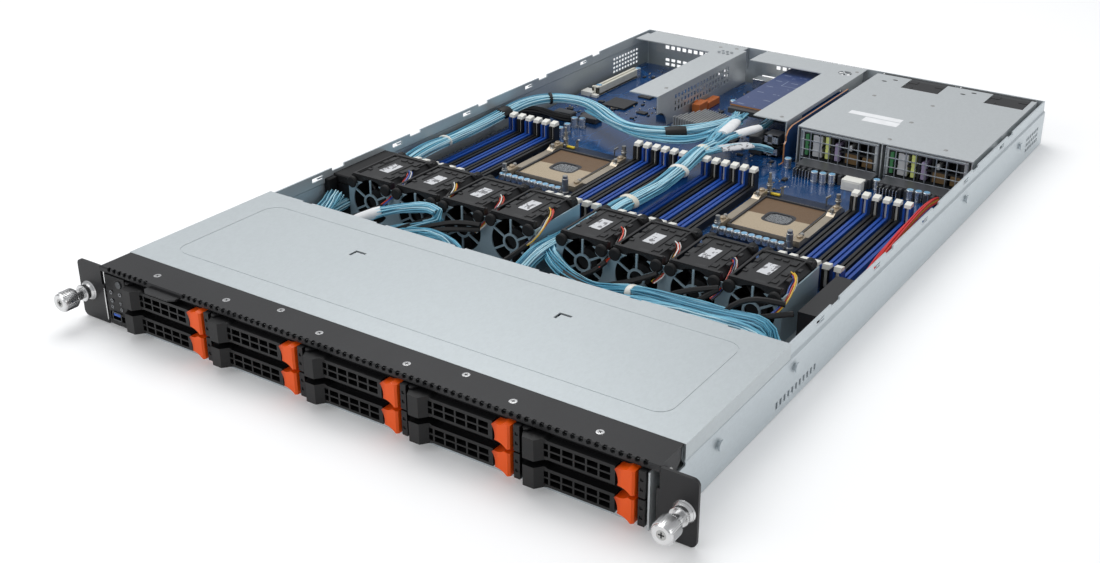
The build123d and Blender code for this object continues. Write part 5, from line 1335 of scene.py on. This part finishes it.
# %% Supply insides, guards and labels
inner_parts = (
    ("green", plain("coil_green", (0.06, 0.24, 0.09), 0.45), [(4.5, 8, 17, 37)]),
    ("yellow", plain("tape_yellow", (0.72, 0.78, 0.25), 0.45), [(24, 28.4, 17, 38)]),
    ("violet", plain("wrap_violet", (0.36, 0.30, 0.46), 0.5), [(33, 38, 17, 33)]),
    ("brown", plain("coil_brown", (0.15, 0.09, 0.035), 0.5), [(43, 56, 17, 27), (59, 69, 17, 26)]),
    ("grey", plain("cooler_white", (0.62, 0.63, 0.64), 0.45, 0.3), [(12, 21, 17, 37), (46, 49, 29, 34)]),
    ("black", chip_black, [(30, 32, 17, 38)]),
)
for number, fan_x in ((1, 107.0), (2, 189.0)):
    left, body = first_supply + supply_pitch * (number - 1), f"supply_{number}"
    for colour, material, places in inner_parts:
        inside = Shape()
        for a, b, low, high in places:
            inside.block((left + a, 165.98, low), (left + b, 179.8, high), 0.5)
        inside.piece(f"supply_{number}_{colour}_parts", material, body)
    wires = Shape()
    for step in range(9):
        wires.block((left + 0.4 + step * 9.0, 165.25, 3), (left + 1.4 + step * 9.0, 165.9, 39.8), 0.15)
    for z in (3.0, 13.6, 22.2, 30.8, 39.0):
        wires.block((left + 0.3, 165.2, z), (left + 73.2, 165.85, z + 1.0), 0.15)
    wires.piece(f"supply_{number}_wire_guard", wire_steel, body)
    shade_plate = Shape().block((left + 1, 165.92, 3), (left + 72.5, 165.98, 15.8))
    shade_plate.piece(f"supply_{number}_lower_shade", painted_shade_black, body)
    fan_top = Shape().block((fan_x - 17.6, 325.0, 41.0), (fan_x + 17.6, 351.5, 42.4), 0.3)
    for near in (325, 343.5):
        fan_top.block((fan_x - 17.6, near, 42), (fan_x - 9, near + 8, 42.8), 0.2)
        fan_top.block((fan_x + 9, near, 42), (fan_x + 17.6, near + 8, 42.8), 0.2)
    fan_top.piece(f"supply_{number}_fan_top", fan_black, body)
stickers = Shape().plate([(76, 224), (126, 224), (126, 233), (76, 233)], bay_roof, 43.1)
stickers.plate([(94, 211), (127, 211), (127, 222.5), (94, 222.5)], bay_roof, 43.1)
stickers.piece("supply_bay_labels", label_paper)
print("supplies ready")

# %% [markdown]
# ## Floor
# The machine stands on a plain pale floor that runs out of the picture, so nothing in it competes
# with the object.

# %% Floor
half, level_z = 6, -0.0005
floor_paint = Finish("studio_floor", (0.93, 0.93, 0.93), 0.8, Emission_Color=(1, 1, 1, 1),
                     Emission_Strength=0.10)
corners = [(x * half, y * half, level_z) for x, y in ((-1, -1), (1, -1), (1, 1), (-1, 1))]
floor_mesh = bpy.data.meshes.new("studio_floor")
floor_mesh.from_pydata(corners, [], [(0, 1, 2, 3)])
floor_mesh.materials.append(floor_paint.material)
floor = bpy.data.objects.new("studio_floor", floor_mesh)
bpy.context.scene.collection.objects.link(floor)
print("floor ready")
